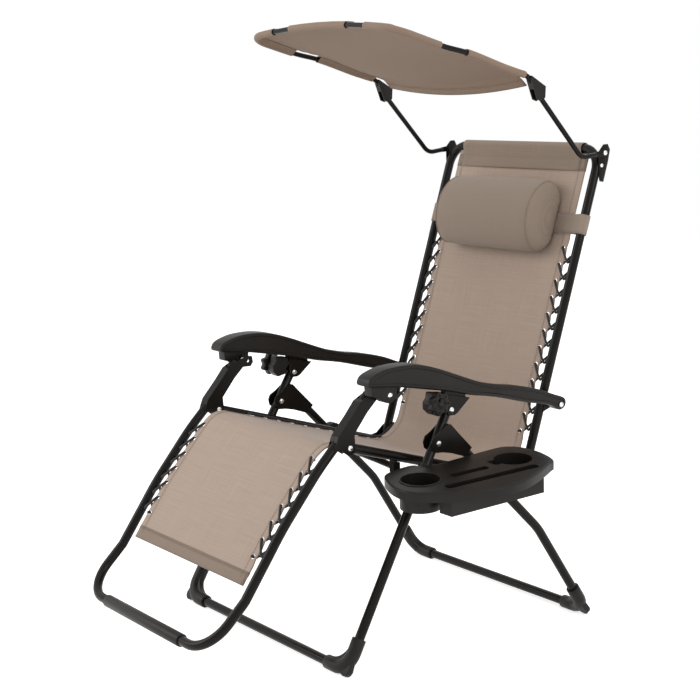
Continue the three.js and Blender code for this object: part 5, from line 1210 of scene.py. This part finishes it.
for body, skipped in (("back", SKIPPED_BACK), ("seat", SKIPPED_SEAT), ("leg_rest", -1)):
    route = smooth_line(lacing_points(eyelet_rows[body], skipped), 3)
    for side, sign in SIDES:
        bm = bmesh.new()
        sweep(bm, route, CORD_RADIUS, 9, cap_bevel=0.8)
        for end in (route[0], route[-1]):
            knot = bmesh.ops.create_icosphere(bm, subdivisions=2, radius=KNOT_RADIUS * MM,
                                              matrix=Matrix.Translation(at(*end)))
            bmesh.ops.scale(bm, vec=KNOT_SHAPE, space=Matrix.Translation(-at(*end)), verts=knot["verts"])
        mirror_if(bm, sign)
        finished(f"cord_{body}_{side}", bm, rubber_cord, 60, body, f"{body}_lacing_{side}",
                 slot="bungee_cord")
print("lacing points:", len(route))

# %% [markdown]
# The canopy is one cloth. Its middle lies over the bow with a low crown, its side and front edges are
# sewn round the rod as sleeves, and short cut-outs in the sleeves leave the rod bare. The rear edge
# is a plain hem that hangs free between the two clevises.

# %% Canopy cloth
CANOPY_REAR_Y, CANOPY_SHOULDER_Y, CANOPY_SLEEVE_Y = 200, 175, 165
CANOPY_REAR_HALF, CANOPY_SAG, CANOPY_THICK = 258, 24, 1.5
SLEEVE_RADIUS_OUT, SLEEVE_TIP = 8.3, 21
SIDE_CUT, FRONT_CUT_X, FRONT_CUT_HALF, CUT_DEPTH = (-85, -12), 146, 32, 17
STRAIGHT_SHARE, CUT_FADE, FRONT_EASE, CROWN_GROWTH = 0.86, 6, 10, 1.15
SLACK, PUCKER, PUCKER_RATE, PUCKER_FADE, STITCH_GAP = 3.2, 0.7, 0.21, 8, 3
canopy_corner_y = head_front_y + CANOPY_CORNER


def ease(value):
    value = min(1, max(0, value))
    return value * value * (3 - 2 * value)


def notch(value, low, high, soft=9):
    return ease((value - low + soft / 2) / soft) * ease((high + soft / 2 - value) / soft)


def canopy_half(y):
    if y >= CANOPY_SLEEVE_Y:
        share = ease((y - CANOPY_SLEEVE_Y) / (CANOPY_SHOULDER_Y - CANOPY_SLEEVE_Y))
        return CANOPY_X + (CANOPY_REAR_HALF - CANOPY_X) * share
    inward = max(0, canopy_corner_y - y)
    return CANOPY_X - CANOPY_CORNER + math.sqrt(max(0, CANOPY_CORNER ** 2 - inward ** 2))


def canopy_place(s, t, lift=0.0):
    if t <= STRAIGHT_SHARE:
        y = CANOPY_REAR_Y + (canopy_corner_y - CANOPY_REAR_Y) * t / STRAIGHT_SHARE
    else:
        turn = math.radians(90) * (t - STRAIGHT_SHARE) / (1 - STRAIGHT_SHARE)
        y = canopy_corner_y - CANOPY_CORNER * math.sin(turn)
    x = s * (canopy_half(y) - CUT_DEPTH * notch(y, *SIDE_CUT) * abs(s) ** CUT_FADE)
    forward = ease((canopy_corner_y + FRONT_EASE - y) / (CANOPY_CORNER + FRONT_EASE))
    cut_ends = (FRONT_CUT_X - FRONT_CUT_HALF, FRONT_CUT_X + FRONT_CUT_HALF)
    cut_y = y + CUT_DEPTH * (notch(x, *cut_ends) + notch(-x, *cut_ends)) * forward ** 2
    rise = (CANOPY_REAR_Y - cut_y) / (CANOPY_REAR_Y - head_front_y)
    crown = -CANOPY_SAG + (CANOPY_CROWN + CANOPY_SAG) * min(1, rise * CROWN_GROWTH)
    side = min(1, abs(x) / CANOPY_X)
    edge = ROD_RADIUS + CANOPY_THICK / 2 + 0.3
    slack = -SLACK * math.sin(math.pi * min(1, max(0, rise))) * (1 - side ** 2)
    pucker = PUCKER * math.sin(cut_y * PUCKER_RATE) * side ** PUCKER_FADE * (cut_y < CANOPY_SLEEVE_Y)
    return Vector((x, cut_y, head_z(cut_y) + edge + crown * (1 - side * side) + slack + pucker + lift))


canopy_panel = sheet_piece("canopy_panel", canopy_cloth_look, 2 * CANOPY_X, CANOPY_REAR_Y - head_front_y,
                           72, 84, canopy_place, CANOPY_THICK)
rear_hem = sheet_piece("canopy_rear_hem", canopy_cloth_look, 2 * CANOPY_REAR_HALF, 16, 72, 3,
                       lambda s, t: canopy_place(s, 0.0005 + 0.038 * t), CANOPY_THICK + 1.5)

teardrop = [(-SLEEVE_TIP, 7.6), (-SLEEVE_TIP / 2, 8.1), *arc_points(SLEEVE_RADIUS_OUT, 90, -150, 12),
            (-SLEEVE_TIP * 0.7, 2.6), (-SLEEVE_TIP, 6.2)]


def next_ring(bm, ring, edges, places):
    """Extrudes a closed ring of edges and moves its points to their next places."""
    grown = bmesh.ops.extrude_edge_only(bm, edges=edges)["geom"]
    fresh = {item for item in grown if isinstance(item, bmesh.types.BMVert)}
    result = []
    for vert, place in zip(ring, places):
        partner = next(edge.other_vert(vert) for edge in vert.link_edges if edge.other_vert(vert) in fresh)
        partner.co = place
        result.append(partner)
    members = set(result)
    return result, [item for item in grown if isinstance(item, bmesh.types.BMEdge)
                    and all(vert in members for vert in item.verts)]


def lofted(bm, rings, capped=False):
    """Joins closed rings of places, in metres, one after another."""
    ring = [bm.verts.new(place) for place in rings[0]]
    edges = [bm.edges.new(pair) for pair in zip(ring, [*ring[1:], ring[0]])]
    first_edges = edges
    for places in rings[1:]:
        ring, edges = next_ring(bm, ring, edges, places)
    if capped:
        for group in (first_edges, edges):
            bmesh.ops.contextual_create(bm, geom=group)


def profile_sweep(bm, route, profile):
    """Extrudes a closed profile of (outward, up) pairs along a route round the canopy."""
    ways = tangents(route)

    def spots(index):
        out = Vector((ways[index].y, -ways[index].x, 0)).normalized()
        if out.dot(Vector((route[index].x, route[index].y - 60, 0))) < 0:
            out = -out
        rise = ways[index].cross(out).normalized()
        rise = rise if rise.z > 0 else -rise
        return [at(*(route[index] + out * a + rise * b)) for a, b in profile]

    lofted(bm, [spots(index) for index in range(len(route))])


dense = []
for before, after in zip(head_route, head_route[1:]):
    steps = max(1, math.ceil((after - before).length / 4))
    dense += [before.lerp(after, step / steps) for step in range(steps)]
dense.append(head_route[-1])


def sleeved(place):
    if place.y > CANOPY_SLEEVE_Y:
        return False
    if SIDE_CUT[0] < place.y < SIDE_CUT[1]:
        return False
    return not (place.y < canopy_corner_y and abs(abs(place.x) - FRONT_CUT_X) < FRONT_CUT_HALF)


runs = [list(group) for kept, group in itertools.groupby(dense, key=sleeved) if kept]
bm = bmesh.new()
for run in runs:
    profile_sweep(bm, run, teardrop)
bmesh.ops.recalc_face_normals(bm, faces=bm.faces)
canopy_sleeves = smooth(new_object("canopy_sleeves", bm, canopy_cloth_look), 60)
cloth_map(canopy_sleeves, lambda co: (co.x, co.y))
thicken(canopy_sleeves, 1.0, -1)

side_line = [canopy_place(0.93, 0.09 + 0.76 * step / 60) for step in range(61)]
bottom = Vector((0, 0, -2.6))
top = Vector((0, 0, 1.4))
stitch_lines = []
for shift in (bottom, top):
    for sign in (1, -1):
        line = [Vector((sign * p.x, p.y, p.z)) + shift for p in side_line]
        stitch_lines += [[p for p in line if p.y > SIDE_CUT[1] + STITCH_GAP],
                         [p for p in line if p.y < SIDE_CUT[0] - STITCH_GAP]]
    front = [canopy_place(x / 100, 0.945) + shift for x in range(-80, 81, 2)]
    outer_end = FRONT_CUT_X + FRONT_CUT_HALF + STITCH_GAP
    stitch_lines += [[p for p in front if abs(p.x) < FRONT_CUT_X - FRONT_CUT_HALF - STITCH_GAP],
                     [p for p in front if p.x > outer_end], [p for p in front if p.x < -outer_end]]
    stitch_lines.append([canopy_place(x / 100, 0.034) + shift * 0.85 for x in range(-98, 99, 2)])
stitches("canopy_stitches", stitch_lines, "canopy_head")
for piece in (canopy_panel, rear_hem, canopy_sleeves):
    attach(piece, "canopy_head")
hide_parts("canopy_cloth")
print("canopy sleeves:", len(runs), "runs, highest point",
      round(max(canopy_place(0, t / 40).z for t in range(41))), "mm")

# %% [markdown]
# The pillow is a D-shaped bag with a panel at each end. A slightly slim body is lofted, remeshed to an
# even grain and blown up by a short cloth simulation that is held along the two end seams. The result
# is capped, so it stays in its packed space, and then gets its piping.

# %% Head pillow
PILLOW_HALF, PILLOW_Z, PILLOW_HIGH, PILLOW_DEEP, PILLOW_GAP = 188, 960, 93, 92, 5.5
END_SEAM, BACK_FACE = 0.9, 4.2
half_rings = (
    (0.2, 1.0), (0.4, 1.0), (0.6, 0.99), (0.75, 0.985), (0.86, 0.97), (0.9, 0.955), (0.93, 0.93),
    (0.96, 0.88), (0.985, 0.8), (1, 0.7))
pillow_rings = (*((-along, swell) for along, swell in reversed(half_rings)), (0, 1.0), *half_rings)
pillow_section = (
    (0, -0.62), (0, 0), (0, 0.62), (0.1, 0.86), (0.3, 0.98), (0.55, 0.93), (0.78, 0.72),
    (0.95, 0.38), (1, 0), (0.95, -0.38), (0.78, -0.72), (0.55, -0.93), (0.3, -0.98), (0.1, -0.86))
pillow_middle = Vector((0, back_y(PILLOW_Z), PILLOW_Z))


def pillow_ring(along, swell):
    points = [pillow_middle + back_front * (PILLOW_GAP + deep * PILLOW_DEEP * swell)
              + back_up * (high * PILLOW_HIGH * swell) for deep, high in pillow_section]
    return [Vector((along * PILLOW_HALF, p.y, p.z)) for p in closed_smooth(points, 4)]


def applied(piece):
    """The piece's mesh with its modifiers applied."""
    graph = bpy.context.evaluated_depsgraph_get()
    mesh = bpy.data.meshes.new_from_object(piece.evaluated_get(graph))
    piece.modifiers.clear()
    piece.data = mesh
    return piece


def inflate(piece, pressure, cap, held):
    """Blows a closed mesh up with cloth pressure; held says which points stay."""
    rest = [vert.co.copy() for vert in piece.data.vertices]
    group = piece.vertex_groups.new(name="held")
    group.add([index for index, co in enumerate(rest) if held(co)], 1.0, "REPLACE")
    cloth = piece.modifiers.new("cloth", "CLOTH")
    cloth.settings.quality = 4
    cloth.settings.mass = 0.15
    cloth.settings.use_pressure = True
    cloth.settings.uniform_pressure_force = pressure
    cloth.settings.effector_weights.gravity = 0
    cloth.settings.vertex_group_mass = "held"
    cloth.settings.tension_stiffness = 18
    cloth.settings.compression_stiffness = 18
    cloth.settings.bending_stiffness = 0.6
    cloth.point_cache.frame_start, cloth.point_cache.frame_end = 1, 20
    for number in range(1, 21):
        bpy.context.scene.frame_set(number)
    applied(piece)
    bpy.context.scene.frame_set(1)
    moved = 0
    for vert, start in zip(piece.data.vertices, rest):
        step = vert.co - start
        if step.length > cap * MM:
            step = step.normalized() * cap * MM
        vert.co = start + step
        moved = max(moved, step.length / MM)
    piece.vertex_groups.clear()
    return moved


bm = bmesh.new()
lofted(bm, [[at(*p) for p in pillow_ring(*ring)] for ring in pillow_rings], capped=True)
outward(bm)
pillow = new_object("pillow_body", bm, pillow_cloth)
grain = pillow.modifiers.new("grain", "REMESH")
grain.mode, grain.voxel_size = "VOXEL", 0.0055
applied(pillow)
seam_x = END_SEAM * PILLOW_HALF * MM
moved = inflate(pillow, 4.0, 9, lambda co: abs(abs(co.x - ORIGIN.x) - seam_x) < 0.0032)
print("pillow swelled by", round(moved, 1), "mm")
plane = at(*pillow_middle)
outer = back_front.normalized()
for vert in pillow.data.vertices:
    depth = (vert.co - plane).dot(outer)
    if depth < BACK_FACE * MM:
        vert.co += outer * (BACK_FACE * MM - depth)
grain = pillow.modifiers.new("finer", "SUBSURF")
grain.levels = grain.render_levels = 1
applied(pillow)
pillow.data.materials.clear()
pillow.data.materials.append(pillow_cloth)
smooth(pillow, 80)


def girth(co):
    off = co - plane
    return (co.x, math.atan2(off.dot(back_up), off.dot(outer) - 0.045) * 0.07)


cloth_map(pillow, girth)
surface_tree = BVHTree.FromPolygons([vert.co for vert in pillow.data.vertices],
                                    [tuple(face.vertices) for face in pillow.data.polygons])
bm = bmesh.new()
for sign in (1, -1):
    ring = pillow_ring(sign * END_SEAM, 1.0)
    line = []
    for point in [*ring, ring[0]]:
        spot = surface_tree.find_nearest(at(*point))[0]
        line.append(Vector((sign * END_SEAM * PILLOW_HALF, *((spot - ORIGIN) / MM).yz)))
    sweep(bm, line, 1.7, 10, capped=False)
outward(bm)
piping = smooth(new_object("pillow_piping", bm, hem_cloth), 60)
cloth_map(piping, lambda co: (co.x, co.z))
dress(pillow, "pillow", "head_pillow", slot="pillow_fabric")
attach(piping, "pillow")
print("pillow points:", len(pillow.data.vertices))

# %% [markdown]
# The pillow's strap is flat webbing. It runs behind the back, round both tubes and in front of them to
# the pillow, so its line is drawn from above and drawn out along the back.

# %% Pillow strap
STRAP_Z, STRAP_HALF, STRAP_THICK, STRAP_WRAP, STRAP_GAP = 954, 24, 1.6, 13.0, 4.0
strap_middle = Vector((0, back_y(STRAP_Z), STRAP_Z))
strap_line = []
for sign in (1, -1):
    strap_line.append((sign * (SLING_HALF + 4), -sign * STRAP_GAP))
    strap_line += [(sign * (RAIL_X + a), sign * b) for a, b in arc_points(STRAP_WRAP, -90, 90, 12)]
    strap_line.append((sign * (SLING_HALF + 4), sign * STRAP_GAP))
bm = bmesh.new()
lofted(bm, [[at(*(strap_middle + Vector((x, 0, 0)) - back_front * ahead + back_up * STRAP_HALF * height))
             for x, ahead in strap_line] for height in (-1, -0.5, 0, 0.5, 1)])
outward(bm)
strap = smooth(new_object("pillow_webbing", bm, strap_cloth), 50)
cloth_map(strap, lambda co: (co.x, co.z))
thicken(strap, STRAP_THICK)
dress(strap, "pillow", "pillow_strap", slot="pillow_fabric")

# %% [markdown]
# The tray is one moulding, so it is carved from solids: a rounded shell, the two cup wells and the box
# are joined, and the cups, the slot and the groove are cut out. A bevel rounds what the cuts leave.

# %% Side tray
TRAY_CENTRE = (430, -97, 444)
TRAY_SIZE = (256, 400)
TRAY_SKIRT, TRAY_WALL, TRAY_INSET = 22, 3, 0.972
CUP_RADIUS, CUP_WALL, CUP_DEPTH, BOX_DEPTH = 43.5, 2.6, 62, 58
FRONT_CUP, REAR_CUP = (402, -225), (426, 23)
REAR_NOTCH, SLOT, GROOVE = (419.5, -6.5, 33, 59), (429.5, -108, 20, 100), (488, -92, 23, 246)
BOX_PLACE, BOX_SIZE = (455, -90), (120, 270)
POCKET_TURN = math.radians(-4.8)
HOOK_RADIUS, HOOK_MOUTH = 16.5, 8
tray_shares = (
    (-0.422, -0.412), (-0.234, -0.475), (-0.051, -0.5), (0.098, -0.48), (0.246, -0.393), (0.422, -0.198),
    (0.5, -0.043), (0.48, 0.117), (0.395, 0.268), (0.285, 0.407), (0.227, 0.463), (0.008, 0.5),
    (-0.211, 0.485), (-0.332, 0.422), (-0.359, 0.335), (-0.359, 0.098), (-0.359, -0.077), (-0.422, -0.158),
    (-0.484, -0.198), (-0.477, -0.312))
tray_box_shares = (
    (0.108, -0.504), (0.417, -0.493), (0.542, 0.444), (0.375, 0.496),
    (-0.125, 0.496), (-0.458, 0.333), (-0.458, -0.278), (-0.125, -0.289))
tray_place = (Matrix.Translation(at(*TRAY_CENTRE)) @ Matrix.Rotation(math.atan(0.08), 4, "X")
              @ Matrix.Rotation(math.atan(0.05), 4, "Y"))
tray_outline = [(p.y, p.z) for p in closed_smooth(outline(tray_shares, 0, 0, *TRAY_SIZE), 4)]


def tray_local(x, y):
    return x - TRAY_CENTRE[0], y - TRAY_CENTRE[1]


def circle_points(x, y, radius, steps=56):
    x, y = tray_local(x, y)
    return [(x + radius * math.cos(math.tau * i / steps), y + radius * math.sin(math.tau * i / steps))
            for i in range(steps)]


def bar_points(x, y, width, length, turn, corner):
    """A slot with rounded corners."""
    x, y = tray_local(x, y)
    points = []
    for a, b, start in ((1, 1, 0), (-1, 1, 90), (-1, -1, 180), (1, -1, 270)):
        for right, up in arc_points(corner, start, start + 90, 6):
            local = Vector((a * (width / 2 - corner) + right, b * (length / 2 - corner) + up))
            local.rotate(Matrix.Rotation(turn, 2))
            points.append((x + local.x, y + local.y))
    return points


def tray_slab(name, points, low, high, rim=0.0, segments=5):
    """An outline in the tray's own plane, drawn from one height to another, with a rounded upper rim."""
    bm = bmesh.new()
    places = [(x * MM, y * MM, low * MM) for x, y in points]
    lid = drawn_out(bm, places, (0, 0, (high - low) * MM))[1]
    if rim:
        bmesh.ops.bevel(bm, geom=list(lid.edges), offset=rim * MM, segments=segments, profile=0.5,
                        affect="EDGES", material=-1)
    outward(bm)
    bmesh.ops.transform(bm, matrix=tray_place, verts=bm.verts)
    return new_object(name, bm, moulded)


def scaled_points(points, share):
    return [(x * share, y * share) for x, y in points]


def carve(target, tools, operation):
    for tool in tools:
        step = target.modifiers.new("carve", "BOOLEAN")
        step.operation, step.object, step.solver = operation, tool, "EXACT"
    applied(target)
    for tool in tools:
        mesh = tool.data
        bpy.data.objects.remove(tool)
        bpy.data.meshes.remove(mesh)
    return target


box_points = [tray_local(BOX_PLACE[0] + a * BOX_SIZE[0], BOX_PLACE[1] + b * BOX_SIZE[1])
              for a, b in tray_box_shares]
tray = tray_slab("tray_moulding", tray_outline, -TRAY_SKIRT, 0, rim=4.5)
carve(tray, [tray_slab("t1", scaled_points(tray_outline, TRAY_INSET), -TRAY_SKIRT - 20, -TRAY_WALL, rim=2.0)],
      "DIFFERENCE")
post_way = (POST_FOOT - POST_TOP).normalized()
post_share = (POST_TOP.z - (TRAY_CENTRE[2] - TRAY_SKIRT / 2)) / (POST_TOP.z - POST_FOOT.z)
post_at_tray = POST_TOP.lerp(POST_FOOT, post_share)


def post_cylinder(name, radius, reach):
    bm = bmesh.new()
    ends = [post_at_tray - post_way * reach, post_at_tray, post_at_tray + post_way * reach]
    sweep(bm, ends, radius, 40, cap_bevel=0)
    outward(bm)
    return new_object(name, bm, moulded)


rim_ring = circle_points(*FRONT_CUP, CUP_RADIUS + 3.4)
carve(tray, [
    tray_slab("t2", circle_points(*FRONT_CUP, CUP_RADIUS + CUP_WALL), -CUP_DEPTH, -TRAY_WALL / 2),
    tray_slab("t3", circle_points(*REAR_CUP, CUP_RADIUS + CUP_WALL), -BOX_DEPTH, -TRAY_WALL / 2),
    tray_slab("t4", box_points, -BOX_DEPTH, -TRAY_WALL / 2),
    tray_slab("t5", rim_ring, -TRAY_WALL, 2.2, rim=1.2, segments=3),
    post_cylinder("t6", HOOK_RADIUS, TRAY_SKIRT / 2)], "UNION")
mouth = new_object("t7", bmesh.new())
bm = bmesh.new()
mouth_place = Matrix.Translation(at(post_at_tray.x - HOOK_RADIUS, post_at_tray.y, post_at_tray.z))
mouth_size = Matrix.Diagonal((2 * HOOK_RADIUS * MM, 2 * HOOK_MOUTH * MM, 4 * TRAY_SKIRT * MM, 1))
bmesh.ops.create_cube(bm, size=1, matrix=mouth_place @ mouth_size)
bm.to_mesh(mouth.data)
bm.free()
carve(tray, [
    tray_slab("t8", circle_points(*FRONT_CUP, CUP_RADIUS), -CUP_DEPTH + CUP_WALL, 12),
    tray_slab("t9", circle_points(*REAR_CUP, CUP_RADIUS), -BOX_DEPTH + CUP_WALL, 12),
    tray_slab("ta", bar_points(*REAR_NOTCH, 0, 5), -BOX_DEPTH + CUP_WALL, 12.5),
    tray_slab("tb", bar_points(*SLOT, POCKET_TURN, 6), -BOX_DEPTH + CUP_WALL, 12),
    tray_slab("tc", bar_points(*GROOVE, POCKET_TURN, 8), -TRAY_SKIRT, 12),
    post_cylinder("td", TUBE_RADIUS + 0.35, 3 * TRAY_SKIRT), mouth], "DIFFERENCE")
bm = welded(tray.data, 4e-5, 0.6)
outward(bm)
bm.to_mesh(tray.data)
bm.free()
tray.data.materials.clear()
tray.data.materials.append(moulded)
soft_edges(tray, 1.1, 3, 40)
dress(smooth(tray, 36), "tray", "side_tray", slot="moulded_plastic")
print("tray faces:", len(tray.data.polygons))
